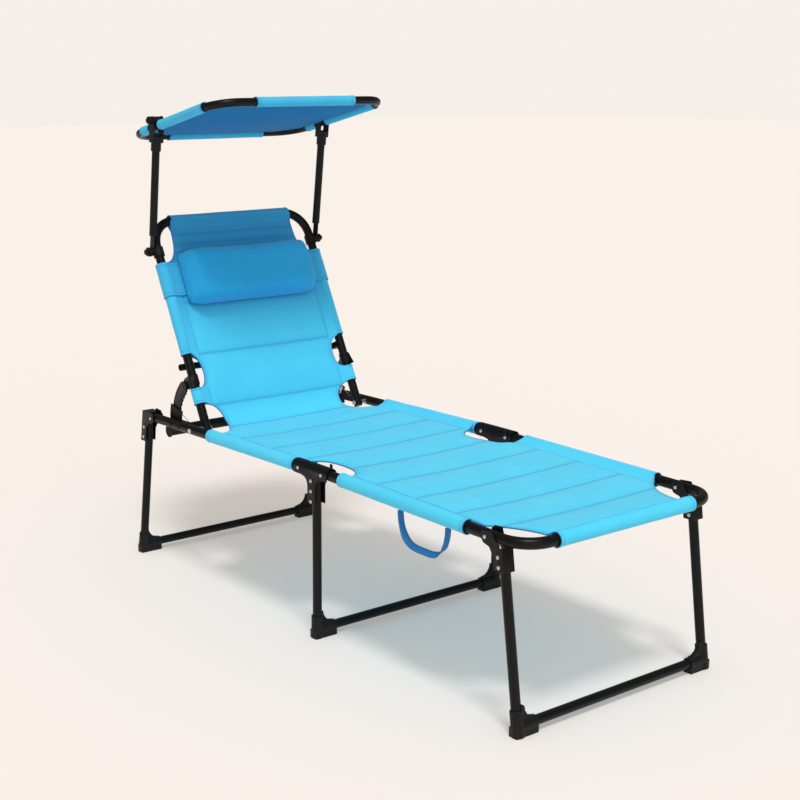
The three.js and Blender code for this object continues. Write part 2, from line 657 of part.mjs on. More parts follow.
function footPanel() {
  const edge = footEdgeShares.map(([u, v]) => [u * rail.x, -Math.max(panelGap, v * footBar.y)]);
  const end = footEdgeShares[footEdgeShares.length - 1][1] * footBar.y;
  const sheet = quilted(wholeOutline(edge), footSeams.map((y) => -y), -end, -panelGap, rail.z, rail.x);
  const sleeves = dressed(footPath(0), sleeve, [
    region(-2 * rail.x, 2 * rail.x, -footSleeve.to, -footSleeve.from, rail.z),
    region(-footBarSleeve, footBarSleeve, -2 * footBar.y, -footSleeve.to, rail.z),
  ]);
  return cut(joined(sheet, sleeves), bar(footPath(0), sleeve.inside, sleeve.sides));
}

function footFrame() {
  const ends = plate(roundEnded(-2 * footBar.y, -hinge.middle, rail.z, rail.radius + gap / 3, rail.endSteps),
    -2 * rail.x, 2 * rail.x);
  const holes = [near, far].flatMap((side) => [-hinge.middle, -hinge.foot].map((y) =>
    pinAlongX(side * rail.x - 2 * rail.radius, side * rail.x + 2 * rail.radius, y, rail.z, pinSize.hole)));
  return cut(bar(footPath(rail.stub - hinge.middle), rail.radius, rail.sides).intersect(ends),
    bar(footPath(-hinge.middle - rail.plug), rail.radius - rail.wall, boreSides), holes);
}

// Webbing handle: a hanging loop that turns over once along its length.
function carryStrap() {
  const middle = (strap.from + strap.to) / 2;
  const half = (strap.to - strap.from) / 2;
  const points = Array.from({ length: strap.steps + 1 }, (_, i) => {
    const share = i / strap.steps;
    const across = Math.cos(Math.PI * share);
    const y = -middle + half * Math.sign(across) * Math.abs(across) ** strapBelly;
    const z = rail.z - strap.top - (strap.drop - strap.top) * Math.sin(Math.PI * share);
    return at(-rail.x, y, z);
  });
  const strip = toVectors([
    [-strap.half, -strap.thick / 2], [strap.half, -strap.thick / 2],
    [strap.half, strap.thick / 2], [-strap.half, strap.thick / 2],
  ]);
  return sweep(new THREE.Shape(strip), points);
}

// Backrest, in its own frame: x across, y up the tube from the hinge, z to the front

const backPath = (start) => bentPoints([
  at(-back.x, start, 0), at(-back.x, back.length, 0), at(back.x, back.length, 0), at(back.x, start, 0),
], back.bend, footBar.bendSteps);

function backFrame() {
  const ends = plate(roundEnded(0, 2 * back.length, 0, back.radius + gap / 3, rail.endSteps),
    -2 * back.x, 2 * back.x);
  const holes = [near, far].map((side) => pinAlongX(side * back.x - 2 * back.radius,
    side * back.x + 2 * back.radius, 0, 0, backPivot.hole));
  const vents = [near, far].map((side) => bar(line(at(side * back.x, backBar.along, 0),
    at(side * back.x, backBar.along, -2 * back.radius)), bossPin.hole, pinSize.sides));
  return cut(bar(backPath(-back.radius), back.radius, back.sides).intersect(ends),
    bar(backPath(rail.plug), back.radius - back.wall, boreSides), holes, vents);
}

// Cross bar behind the backrest, screwed to both side tubes.
function backCrossBar() {
  const { along, behind, radius, wall, half, sides } = backBar;
  const path = line(at(-half, along, -behind), at(half, along, -behind));
  const { from, to, inset } = backBarBlock;
  const low = along - backBarBlock.half;
  const high = along + backBarBlock.half;
  const blocks = [near, far].map((side) => slab([
    [side * from, low], [side * to, low], [side * to, high], [side * from, high],
  ], -behind, -inset));
  const clear = [near, far].map((side) => bar(line(at(side * back.x, 0, 0),
    at(side * back.x, back.length / 2, 0)), back.radius + gap, back.sides));
  const bore = bar(path, radius - wall, sides);
  const screws = [near, far].map((side) => bar(line(at(side * back.x, along, -behind - radius),
    at(side * back.x, along, -back.radius / 2)), bossPin.radius, pinSize.sides));
  return joined(cut(joined(bar(path, radius, sides), cut(joined(blocks), clear)), bore), screws);
}

function backPanel() {
  const length = back.length;
  const edge = backEdgeShares.map(([u, v]) => [u * back.x, Math.max(bendGap, v * length)]);
  const end = backEdgeShares[backEdgeShares.length - 1][1] * length;
  const sheet = quilted(wholeOutline(edge), backSeams, bendGap, end, 0, back.x);
  const wide = 2 * back.x;
  const sleeves = dressed(backPath(0), backSleeve, [
    region(-wide, wide, tab.from, tab.to, 0),
    region(-wide, wide, backSleeve.from, backSleeve.to, 0),
    region(-backSleeve.top, backSleeve.top, backSleeve.to, 2 * length, 0),
  ]);
  return cut(joined(sheet, sleeves), bar(backPath(0), backSleeve.inside, backSleeve.sides));
}

// Toothed arm with its lug on the backrest tube, set out round the hinge.
function ratchetArm() {
  const angle = (a) => a - back.angle;
  const span = arm.to - arm.from;
  const teeth = Array.from({ length: armSteps.teeth }, (_, i) => {
    const high = angle(arm.to - (span * i) / armSteps.teeth);
    const low = angle(arm.to - (span * (i + 1)) / armSteps.teeth);
    const mid = (high + 2 * low) / 3;
    return [polar(arm.root, high), polar(arm.tip, mid), polar(arm.tip, low)];
  }).flat();
  const outer = arcPoints(0, 0, arm.outer, angle(arm.from), angle(arm.to), armSteps.outer);
  const bow = plate([...outer, ...teeth], arm.inside, arm.outside);
  const [headY, headZ] = polar(armHead.centre, angle(armHead.angle));
  const headDisc = pinAlongX(arm.inside, arm.outside, headY, headZ, armHead.radius, armSteps.outer);
  const collarPath = line(at(back.x, lug.from, 0), at(back.x, lug.to, 0));
  const collar = bar(collarPath, lug.radius, back.sides);
  const width = lug.to - lug.from;
  const sheet = plate(lugShares.map(([u, v]) => [lug.from + u * width, -v * lug.behind]),
    lug.inside, arm.inside + gap);
  const turn = 360 / lug.sides;
  const limit = plate(
    arcPoints(0, 0, lug.reachRadius, turn, 360, lug.sides - 1), 0, 2 * back.x);
  const tubeRoom = bar(line(at(back.x, 0, 0), at(back.x, back.length / 2, 0)), back.radius + gap, back.sides);
  const head = rivet(lug.inside, arm.outside, lugRivet.along, -lugRivet.behind);
  return cut(joined(bow, headDisc, collar, sheet).intersect(limit).add(head), tubeRoom);
}

function postClamp() {
  const collar = bar(line(at(back.x, clamp.from, 0), at(back.x, clamp.to, 0)), clamp.radius, clamp.sides);
  const round = pinAlongX(back.x, clamp.out, clamp.bolt, 0, clamp.boss, clamp.sides);
  const room = bar(backPath(0), back.radius + gap, clamp.sides);
  const hole = pinAlongX(back.x, clamp.out + gap, clamp.bolt, 0, pinSize.hole);
  return cut(joined(collar, round), room, hole);
}

function pillowBody() {
  const rim = pillow.rim;
  const x = pillow.half - rim;
  const low = pillow.from + rim;
  const high = pillow.to - rim;
  const corner = pillow.corner - rim;
  const shape = new THREE.Shape();
  shape.moveTo(-x + corner, low);
  shape.lineTo(x - corner, low);
  shape.quadraticCurveTo(x, low, x, low + corner);
  shape.lineTo(x, high - corner);
  shape.quadraticCurveTo(x, high, x - corner, high);
  shape.lineTo(-x + corner, high);
  shape.quadraticCurveTo(-x, high, -x, high - corner);
  shape.lineTo(-x, low + corner);
  shape.quadraticCurveTo(-x, low, -x + corner, low);
  const geometry = new THREE.ExtrudeGeometry(shape, {
    depth: pillow.thick - 2 * rim,
    bevelThickness: rim,
    bevelSize: rim,
    bevelSegments: pillow.rimSteps,
    curveSegments: pillow.rimSteps,
  });
  geometry.translate(0, 0, band.flat + band.sheet + gap + rim);
  return solid(geometry);
}

// One closed loop of cloth round both sleeves, drawn in flat between them.
function pillowBand() {
  const loop = (radius, flat) => {
    const half = [
      [back.x - band.bend, flat],
      ...arcPoints(back.x, 0, radius, band.arc, -band.arc, band.arcSteps),
      [back.x - band.bend, -flat],
    ];
    return [...half, ...half.map(([x, z]) => [-x, z]).reverse()];
  };
  const outer = beam(loop(band.outside, band.flat + band.sheet), band.from, band.to);
  const inner = beam(loop(band.inside, band.flat), band.from - gap, band.to + gap);
  return cut(outer, inner);
}

// Posts, each in its own frame: z up the post from the lower bolt

function canopyPost() {
  const blade = plate([
    [-tang.half, tang.top], ...arcPoints(0, 0, tang.end, 180, 360, tang.steps), [tang.half, tang.top],
  ], post.x + tang.inside, post.x + tang.outside);
  const top = post.length - forkSocket.stop - gap;
  const tube = pipe(line(at(post.x, 0, tang.start), at(post.x, 0, top)),
    post.radius, post.radius - post.wall, post.sides);
  const hole = pinAlongX(post.x - post.radius, post.x + post.radius, 0, 0, pinSize.hole);
  return cut(joined(blade, tube), hole);
}

function postFork() {
  const z = post.length;
  const side = (inside, outside) => plate([
    [-fork.half, z - fork.base], [fork.half, z - fork.base],
    ...arcPoints(0, z, fork.half, 0, 180, fork.steps),
  ], post.x + inside, post.x + outside);
  const base = plate([
    [-fork.half, z - fork.base], [fork.half, z - fork.base],
    [fork.half, z - fork.floor], [-fork.half, z - fork.floor],
  ], post.x - fork.outside, post.x + fork.outside);
  const socket = bar(line(at(post.x, 0, z - fork.socket), at(post.x, 0, z - fork.floor)),
    forkSocket.radius, post.sides);
  const bore = bar(line(at(post.x, 0, z - fork.socket - gap), at(post.x, 0, z - forkSocket.stop)),
    forkSocket.bore, post.sides);
  const hole = pinAlongX(post.x - 2 * fork.outside, post.x + 2 * fork.outside, 0, z, pinSize.hole);
  return cut(joined(side(fork.inside, fork.outside), side(-fork.outside, -fork.inside), base, socket),
    bore, hole);
}

// A thumb screw along x: lobed grip, hub and bolt.
function thumbScrew(size, y, z) {
  const count = star.lobes * star.steps;
  const rim = Array.from({ length: count }, (_, i) => {
    const angle = (2 * Math.PI * i) / count;
    const wave = (1 + Math.cos(star.lobes * angle)) / 2;
    const radius = size.radius * (star.share + (1 - star.share) * wave);
    return [y + radius * Math.cos(angle), z + radius * Math.sin(angle)];
  });
  const grip = plate(rim, size.from, size.to);
  const hub = pinAlongX(size.from, size.hub, y, z, size.radius * star.hubShare, star.lobes * 2);
  return joined(grip, hub, pinAlongX(size.tip, size.hub, y, z, pinSize.radius));
}

function canopyThumbScrew() {
  const nut = pinAlongX(canopyKnob.nutStart, canopyKnob.tip, 0, post.length, canopyKnob.nut, star.lobes);
  return thumbScrew(canopyKnob, 0, post.length).add(nut);
}

// Canopy, in its own frame: y to the back from the front-to-back place of the bolt, z off the cloth

const canopyRest = { back: canopy.back, front: canopy.back - canopy.depth };

// The ring of the canopy tube, open by a butt joint in the middle of the back bar.
const canopyPath = (open) => bentPoints([
  at(open / 2, canopyRest.back, 0), at(canopy.x, canopyRest.back, 0),
  at(canopy.x, canopyRest.front, 0), at(-canopy.x, canopyRest.front, 0),
  at(-canopy.x, canopyRest.back, 0), at(-open / 2, canopyRest.back, 0),
], canopy.bend, canopyJoint.bendSteps);

function canopyFrame() {
  const { x, radius, wall } = canopy;
  const { spigot, sides } = canopyJoint;
  const ringTube = pipe(canopyPath(canopyJoint.gap), radius, radius - wall, sides);
  const plug = bar(line(at(-spigot, canopyRest.back, 0), at(spigot, canopyRest.back, 0)),
    radius - wall + gap / 2, boreSides);
  const holes = [near, far].map((side) => bar(line(at(side * x, 0, 0), at(side * x, 0, 2 * radius)),
    saddleScrew.hole, pinSize.sides));
  return cut(joined(ringTube, plug), holes);
}

// A closed ring of the given radius round the canopy tube.
function canopyRing(radius) {
  const { back: y } = canopyRest;
  const bridge = bar(line(at(-canopyJoint.spigot, y, 0), at(canopyJoint.spigot, y, 0)),
    radius, canopySleeve.sides);
  return joined(bar(canopyPath(canopyJoint.gap), radius, canopySleeve.sides), bridge);
}

function canopyCloth() {
  const edge = canopyEdgeShares.map(([u, v]) => [u * canopy.x, canopyRest.back - v * canopy.depth]);
  const sheet = slab(wholeOutline(edge.slice(1, -1)), -canopySheet, canopySheet);
  const { inside, outside, bar: half } = canopySleeve;
  const wide = 2 * canopy.x;
  const first = canopyRest.back - canopySideSleeves[0][0];
  const last = canopyRest.back - canopySideSleeves[1][1];
  const regions = [
    ...canopySideSleeves.map(([a, b]) =>
      region(-wide, wide, canopyRest.back - b, canopyRest.back - a, 0)),
    region(-half, half, first, 2 * canopy.depth, 0),
    region(-half, half, -2 * canopy.depth, last, 0),
  ];
  const sleeves = canopyRing(outside).intersect(joined(regions));
  return cut(joined(sheet, sleeves), canopyRing(inside));
}

function canopySaddle() {
  const { half, length, bottom, top, bolt, clear, steps } = saddle;
  const block = plate([
    [-length, bottom], [length, bottom],
    ...arcPoints(0, bolt, top - bolt, 0, 180, steps),
  ], canopy.x - half, canopy.x + half);
  const room = bar(line(at(canopy.x, -2 * length, 0), at(canopy.x, 2 * length, 0)), clear, canopyJoint.sides);
  const hole = pinAlongX(canopy.x - 2 * half, canopy.x + 2 * half, 0, bolt, pinSize.hole);
  const screw = bar(line(at(canopy.x, 0, saddleScrew.end), at(canopy.x, 0, clear + gap)),
    saddleScrew.radius, pinSize.sides);
  return joined(cut(block, room, hole), screw);
}

// The whole lounger

// A group turned about the middle pivot on the given side, so that its far end drops.
function fallingGroup(parent, side, angle) {
  const group = new THREE.Group();
  const shift = at(0, -side * hinge.middle, -rail.z);
  group.rotation.x = -side * rad(angle);
  group.position.copy(shift.clone().applyEuler(group.rotation).sub(shift));
  parent.add(group);
  return group;
}

function addSeat(whole) {
  const parent = fallingGroup(whole, far, tilt.seat);
  addPair(parent, "seat_rail", seatRail(), steel);
  addMesh(parent, "seat_cross_tube", surface(seatCrossTube()), steel);
  addPair(parent, "back_pivot", backPivotBolt(), zinc);
  addPair(parent, "ratchet_housing", ratchetHousing(), darkPlastic);
  addPair(parent, "ratchet_pawl", ratchetPawl(), zinc);
  addMesh(parent, "seat_panel", surface(seatPanel()), cloth);
}

function addFootSection(whole) {
  const parent = fallingGroup(whole, near, tilt.foot);
  addMesh(parent, "foot_frame", surface(footFrame()), steel);
  addMesh(parent, "foot_panel", surface(footPanel()), cloth);
  addMesh(parent, "carry_strap", surface(carryStrap()), webbing);
}

function addBackrest(parent) {
  const group = new THREE.Group();
  group.position.set(0, backAxis.pivot, backAxis.z);
  group.rotation.x = rad(back.angle);
  addMesh(group, "back_frame", surface(backFrame()), steel);
  addMesh(group, "back_cross_bar", surface(backCrossBar()), steel);
  addMesh(group, "back_panel", surface(backPanel()), cloth);
  addPair(group, "ratchet_arm", ratchetArm(), steel);
  addPair(group, "post_clamp", postClamp(), darkPlastic);
  addPair(group, "post_knob", thumbScrew(postKnob, clamp.bolt, 0), darkPlastic);
  addMesh(group, "pillow", surface(pillowBody()), pillowCloth);
  addMesh(group, "pillow_band", surface(pillowBand()), cloth);
  parent.add(group);
}

function addCanopy(parent) {
  const posts = new THREE.Group();
  const lean = rad(back.angle);
  posts.position.set(0, backAxis.pivot + clamp.bolt * Math.cos(lean),
    backAxis.z + clamp.bolt * Math.sin(lean));
  posts.rotation.x = rad(post.angle);
  addPair(posts, "post", canopyPost(), steel);
  addPair(posts, "post_fork", postFork(), darkPlastic);
  addPair(posts, "canopy_knob", canopyThumbScrew(), darkPlastic);
  parent.add(posts);
  const tilt = -rad(canopy.angle);
  const boltY = posts.position.y - post.length * Math.sin(rad(post.angle));
  const boltZ = posts.position.z + post.length * Math.cos(rad(post.angle));
  const roof = new THREE.Group();
  roof.position.set(0, boltY + saddle.bolt * Math.sin(tilt), boltZ - saddle.bolt * Math.cos(tilt));
  roof.rotation.x = tilt;
  addMesh(roof, "canopy_frame", surface(canopyFrame()), steel);
  addMesh(roof, "canopy_cloth", surface(canopyCloth()), cloth);
  addPair(roof, "canopy_saddle", canopySaddle(), darkPlastic);
  parent.add(roof);
}

const lounger = new THREE.Group();
addSeat(lounger);
addFootSection(lounger);
addBackrest(lounger);
addCanopy(lounger);
addLegFrame(lounger, "head", headLegs, headBracket(), leg.top, headCheek.rivets, far);
addLegFrame(lounger, "middle", middleLegs, middleBracket(), leg.middleTop, middleCheek.rivets, far);
addLegFrame(lounger, "foot", footLegs, footBracket(), leg.top, footCheek.rivets, near);

// The origin is on the floor under the middle of the whole outline.
lounger.updateMatrixWorld(true);
const middle = new THREE.Box3().setFromObject(lounger, true).getCenter(new THREE.Vector3());
lounger.position.set(-middle.x, -middle.y, 0);

export default lounger;
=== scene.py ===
"""Looks of a folding sun lounger with a canopy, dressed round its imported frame.

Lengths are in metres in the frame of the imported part: +X across, +Y from the feet to the head, +Z up.
"""

import json
import logging
import math
from dataclasses import dataclass, field
from enum import Enum
from typing import Callable, Iterable, Optional, Sequence

import bmesh
import bpy
from mathutils import Matrix, Vector, noise


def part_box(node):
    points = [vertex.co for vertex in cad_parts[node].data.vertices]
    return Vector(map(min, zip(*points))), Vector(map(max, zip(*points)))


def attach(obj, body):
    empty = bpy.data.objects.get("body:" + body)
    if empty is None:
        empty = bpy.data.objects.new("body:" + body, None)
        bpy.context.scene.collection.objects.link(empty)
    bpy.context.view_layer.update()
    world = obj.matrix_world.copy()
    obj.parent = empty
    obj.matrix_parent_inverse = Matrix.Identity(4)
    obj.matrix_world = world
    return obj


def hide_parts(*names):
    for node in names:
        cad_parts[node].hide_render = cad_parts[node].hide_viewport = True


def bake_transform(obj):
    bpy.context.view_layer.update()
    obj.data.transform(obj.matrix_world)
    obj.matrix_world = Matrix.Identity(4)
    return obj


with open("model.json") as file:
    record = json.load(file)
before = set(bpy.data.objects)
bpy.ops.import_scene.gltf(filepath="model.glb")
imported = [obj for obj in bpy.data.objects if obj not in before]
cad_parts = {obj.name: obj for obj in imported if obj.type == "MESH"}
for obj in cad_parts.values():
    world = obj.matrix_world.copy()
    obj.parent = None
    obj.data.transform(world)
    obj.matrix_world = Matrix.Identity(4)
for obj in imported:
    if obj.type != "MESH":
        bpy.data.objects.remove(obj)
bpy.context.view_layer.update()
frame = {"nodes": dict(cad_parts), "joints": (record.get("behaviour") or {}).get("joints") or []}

logging.basicConfig(level=logging.INFO, format="%(message)s")
LOG = logging.getLogger("lounger")

MM = 0.001
SIDES = {"far": 1, "near": -1}
ROUND = 2 * math.pi
# Vertex attribute that darkens the cloth. It holds the sewn lines, which are partly painted shade in their
# grooves, plus painted shade beside the seams and towards the head end.
SEWN_LINES_AND_SHADE = "crease"
Link = tuple[bpy.types.Node, str | int]
Shape = bmesh.types.BMesh
Piece = bpy.types.Object


# ---------------------------------------------------------------- colours and finishes


def linear(code: str) -> tuple[float, float, float, float]:
    """Turns six hex digits of an sRGB colour into linear values and an alpha of one."""
    parts = [int(code[i : i + 2], 16) / 255 for i in (0, 2, 4)]
    curve = [c / 12.92 if c <= 0.04045 else ((c + 0.055) / 1.055) ** 2.4 for c in parts]
    return (curve[0], curve[1], curve[2], 1.0)


class Nodes:
    """A node tree that is built step by step."""

    def __init__(self, owner: bpy.types.ID) -> None:
        """Empties the owner's tree."""
        owner.use_nodes = True
        self.tree = owner.node_tree
        self.tree.nodes.clear()

    def plug(self, sockets: bpy.types.NodeInputs, inputs: dict) -> None:
        """Sets each named socket to a value, or links it to a (node, output) pair."""
        for name, value in inputs.items():
            if isinstance(value, tuple) and isinstance(value[0], bpy.types.Node):
                self.tree.links.new(value[0].outputs[value[1]], sockets[name])
            else:
                sockets[name].default_value = value

    def add(self, kind: str, inputs: Optional[dict] = None, **settings: object) -> bpy.types.Node:
        """Adds one shader node.

        Args:
            kind: the node's type name.
            inputs: input name or number to a value or a (node, output) pair.
            settings: the node's own attributes.

        Returns:
            The new node.
        """
        node = self.tree.nodes.new(f"ShaderNode{kind}")
        for name, value in settings.items():
            setattr(node, name, value)
        self.plug(node.inputs, inputs or {})
        return node


class Surface(Nodes):
    """The nodes of one material: textures that feed one shader."""

    def __init__(self, name: str) -> None:
        """Makes the material with its shader, output and texture places."""
        self.material = bpy.data.materials.new(name)
        super().__init__(self.material)
        self.shader = self.add("BsdfPrincipled")
        self.add("OutputMaterial", {"Surface": (self.shader, "BSDF")})
        self.place = self.add("TexCoord")

    def noise(self, size_mm: float, detail: float) -> Link:
        """Noise in object space with features of a size."""
        inputs = {"Vector": (self.place, "Object"), "Scale": 1 / (size_mm * MM), "Detail": detail}
        return self.add("TexNoise", inputs), "Fac"

    def mix(self, factor: Link, low: Link | str, high: Link | str) -> Link:
        """Mixes two colours, each a hex code or a link."""
        a, b = (linear(end) if isinstance(end, str) else end for end in (low, high))
        return self.add("Mix", {"Factor": factor, 6: a, 7: b}, data_type="RGBA"), 2

    def ranged(self, value: Link, low: float, high: float) -> Link:
        """Moves a value from 0 to 1 into a range."""
        return self.add("MapRange", {"Value": value, "To Min": low, "To Max": high}), "Result"

    def bump(self, height: Link, strength: float, depth_mm: float) -> Link:
        """Turns a height into a normal."""
        inputs = {"Height": height, "Strength": strength, "Distance": depth_mm * MM}
        return self.add("Bump", inputs), "Normal"

    def done(self, inputs: dict) -> bpy.types.Material:
        """Feeds the shader and returns the material."""
        self.plug(self.shader.inputs, inputs)
        return self.material


@dataclass(frozen=True)
class PowderCoat:
    """Steel tube with a smooth black powder coat: semi-gloss, with a faint orange peel."""

    name: str = "powder_coated_steel"
    colour: str = "0B0C0D"
    worn: str = "121314"
    roughness: float = 0.36
    spread: float = 0.05
    gloss: float = 0.19
    peel_mm: float = 2.2
    peel_depth_mm: float = 0.2
    cloud_mm: float = 60.0
    bump: float = 0.06

    def build(self) -> bpy.types.Material:
        """Makes the node material and returns it."""
        sheet = Surface(self.name)
        cloud = sheet.noise(self.cloud_mm, 4.0)
        peel = sheet.noise(self.peel_mm, 2.0)
        return sheet.done({
            "Base Color": sheet.mix(cloud, self.colour, self.worn),
            "Roughness": sheet.ranged(cloud, self.roughness - self.spread, self.roughness + self.spread),
            "Normal": sheet.bump(peel, self.bump, self.peel_depth_mm),
            "Specular IOR Level": self.gloss,
        })


@dataclass(frozen=True)
class MouldedPlastic:
    """Injection-moulded polypropylene: matt black with a fine spark-eroded grain."""

    name: str = "moulded_polypropylene"
    colour: str = "0C0D0E"
    light: str = "141516"
    roughness: float = 0.52
    gloss: float = 0.24
    grain_mm: float = 1.0
    grain_depth_mm: float = 0.15
    cloud_mm: float = 25.0
    bump: float = 0.18

    def build(self) -> bpy.types.Material:
        """Makes the node material and returns it."""
        sheet = Surface(self.name)
        grain = sheet.noise(self.grain_mm, 3.0)
        return sheet.done({
            "Base Color": sheet.mix(sheet.noise(self.cloud_mm, 3.0), self.colour, self.light),
            "Roughness": self.roughness,
            "Normal": sheet.bump(grain, self.bump, self.grain_depth_mm),
            "Specular IOR Level": self.gloss,
        })


@dataclass(frozen=True)
class ZincPlate:
    """Bright zinc-plated steel of rivets, bolts and the pawl: pale, slightly cloudy metal."""

    name: str = "zinc_plated_steel"
    colour: str = "D9DCDF"
    dull: str = "B4B8BD"
    smoothest: float = 0.22
    roughest: float = 0.4
    cloud_mm: float = 3.0

    def build(self) -> bpy.types.Material:
        """Makes the node material and returns it."""
        sheet = Surface(self.name)
        cloud = sheet.noise(self.cloud_mm, 3.0)
        return sheet.done({
            "Base Color": sheet.mix(cloud, self.colour, self.dull),
            "Roughness": sheet.ranged(cloud, self.smoothest, self.roughest),
            "Metallic": 1.0,
        })


@dataclass(frozen=True)
class WovenPolyester:
    """Coated woven polyester: a close plain weave with a soft sheen at grazing angles.

    The real threads are 0.4 mm apart; they are drawn at thread_mm so that the weave shows.
    """

    name: str = "woven_polyester"
    colour: str = "4CD2F7"
    shade: str = "3EC5EE"
    # Colour used both for the sewn lines and for the painted shade that the attribute lays on the cloth.
    line: str = "157CBC"
    thread_mm: float = 1.1
    thread_share: float = 0.45
    thread_depth_mm: float = 0.25
    cloud_mm: float = 90.0
    roughness: float = 0.72
    bump: float = 0.22
    sheen: float = 0.18
    sheen_roughness: float = 0.45
    gloss: float = 0.3

    def build(self) -> bpy.types.Material:
        """Makes the node material and returns it."""
        sheet = Surface(self.name)
        threads = {
            "Vector": (sheet.place, "UV"), "Scale": 0.5 / (self.thread_mm * MM), "Distortion": 0.25,
            "Detail": 1.0, "Detail Scale": 0.6,
        }
        warp, weft = (
            (sheet.add("TexWave", threads, wave_type="BANDS", bands_direction=way, wave_profile="SIN"), "Fac")
            for way in ("X", "Y")
        )
        weave = sheet.add("Math", {0: warp, 1: weft}, operation="MULTIPLY"), 0
        faint = sheet.add("Math", {0: weave, 1: self.thread_share}, operation="MULTIPLY"), 0
        cloud = sheet.noise(self.cloud_mm, 5.0)
        tone = sheet.add("Math", {0: faint, 1: cloud}, operation="ADD", use_clamp=True), 0
        # The attribute mixes in the line colour: sewn lines with painted shade in their grooves, and painted
        # shade beside the seams and towards the head end.
        sewn = sheet.add("Attribute", attribute_name=SEWN_LINES_AND_SHADE), "Fac"
        return sheet.done({
            "Base Color": sheet.mix(sewn, sheet.mix(tone, self.shade, self.colour), self.line),
            "Normal": sheet.bump(weave, self.bump, self.thread_depth_mm),
            "Roughness": self.roughness,
            "Specular IOR Level": self.gloss,
            "Sheen Weight": self.sheen,
            "Sheen Roughness": self.sheen_roughness,
        })


@dataclass(frozen=True)
class RibbedWebbing:
    """Flat polypropylene webbing: ribs across its length, a little glossier than the cloth."""

    name: str = "ribbed_webbing"
    colour: str = "187DC2"
    shade: str = "12609C"
    rib_mm: float = 2.2
    rib_depth_mm: float = 0.4
    bump: float = 0.4
    roughness: float = 0.6

    def build(self) -> bpy.types.Material:
        """Makes the node material and returns it."""
        sheet = Surface(self.name)
        inputs = {"Vector": (sheet.place, "UV"), "Scale": 0.5 / (self.rib_mm * MM), "Distortion": 0.4}
        ribs = sheet.add("TexWave", inputs, wave_type="BANDS", bands_direction="Y"), "Fac"
        return sheet.done({
            "Base Color": sheet.mix(ribs, self.shade, self.colour),
            "Normal": sheet.bump(ribs, self.bump, self.rib_depth_mm),
            "Roughness": self.roughness,
        })


class Finish(Enum):
    """The finishes of the lounger."""

    STEEL = PowderCoat()
    PLASTIC = MouldedPlastic()
    ZINC = ZincPlate()
    CLOTH = WovenPolyester()
    PILLOW = WovenPolyester(
        name="pillow_polyester", colour="1BA4E1", shade="1599D5", line="126FA8", cloud_mm=70.0
    )
    CANOPY = WovenPolyester(name="canopy_polyester", colour="40BDE6", shade="34AEDD", sheen=0.1)
    # The canopy's underside: the canopy cloth painted darker, with no sheen and little gloss, as painted
    # shade.
    CANOPY_INSIDE = WovenPolyester(
        name="canopy_shaded_underside", colour="1878B4", shade="146FA8", line="0F4A78", sheen=0.0, gloss=0.05
    )
    BINDING = WovenPolyester(name="edge_binding", colour="2387C0", shade="1C78AE", thread_mm=0.9)
    THREAD = WovenPolyester(name="sewing_thread", colour="2F9BD0", shade="2488BC", thread_mm=0.8)
    WEBBING = RibbedWebbing()

    def material(self) -> bpy.types.Material:
        """The finish's material, made the first time it is asked for."""
        return bpy.data.materials.get(self.value.name) or self.value.build()


# ---------------------------------------------------------------- shared making steps


def linked(name: str, data: bpy.types.ID) -> Piece:
    """Puts an object with some data into the scene."""
    item = bpy.data.objects.new(name, data)
    bpy.context.scene.collection.objects.link(item)
    return item


def as_mesh(name: str, shape: Shape) -> bpy.types.Mesh:
    """Turns a bmesh into a mesh and frees it."""
    mesh = bpy.data.meshes.new(name)
    shape.to_mesh(mesh)
    shape.free()
    return mesh


def modify(piece: Piece, name: str, kind: str, **settings: object) -> bpy.types.Modifier:
    """Gives a piece a modifier with its settings."""
    step = piece.modifiers.new(name, kind)
    for key, value in settings.items():
        setattr(step, key, value)
    return step


def outwards(shape: Shape) -> None:
    """Turns the faces of a bmesh outwards."""
    bmesh.ops.recalc_face_normals(shape, faces=shape.faces)


def as_object(name: str, shape: Shape, finish: Finish, smooth: float = 60.0) -> Piece:
    """Turns a bmesh into a scene object with a finish and smooth shading.

    Args:
        name: the piece's name.
        shape: the bmesh, freed here.
        finish: what it is made of.
        smooth: edges below this angle in degrees are shaded smooth.

    Returns:
        The new object.
    """
    mesh = as_mesh(name, shape)
    piece = linked(name, mesh)
    mesh.materials.append(finish.material())
    mesh.shade_smooth()
    mesh.set_sharp_from_angle(angle=math.radians(smooth))
    return piece


def placed(piece: Piece, body: str, *nodes: str) -> Piece:
    """Lets a piece ride on a body in the place of CAD nodes, and logs it.

    Args:
        piece: the finished piece.
        body: the CAD body that it moves with.
        nodes: the CAD nodes that it stands for.

    Returns:
        The same piece.
    """
    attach(piece, body)
    if nodes:
        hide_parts(*nodes)
    LOG.info("%s on %s, %d faces", piece.name, body, len(piece.data.polygons))
    return piece


def bent_path(corners: Sequence[Vector], radius: float, steps: int = 14) -> list[Vector]:
    """Rounds the inner corners of a line to one bend radius.

    Args:
        corners: the line's corner points.
        radius: the bend radius.
        steps: parts in each bend.

    Returns:
        The points of the rounded line.
    """
    points = [corners[0].copy()]
    for before, corner, after in zip(corners, corners[1:], corners[2:]):
        inward = (before - corner).normalized()
        onward = (after - corner).normalized()
        half = inward.angle(onward) / 2
        centre = corner + (inward + onward).normalized() * (radius / math.sin(half))
        spoke = corner + inward * (radius / math.tan(half)) - centre
        axis = (-inward).cross(onward).normalized()
        for k in range(steps + 1):
            turn = Matrix.Rotation((math.pi - 2 * half) * k / steps, 3, axis)
            points.append(centre + turn @ spoke)
    points.append(corners[-1].copy())
    return points


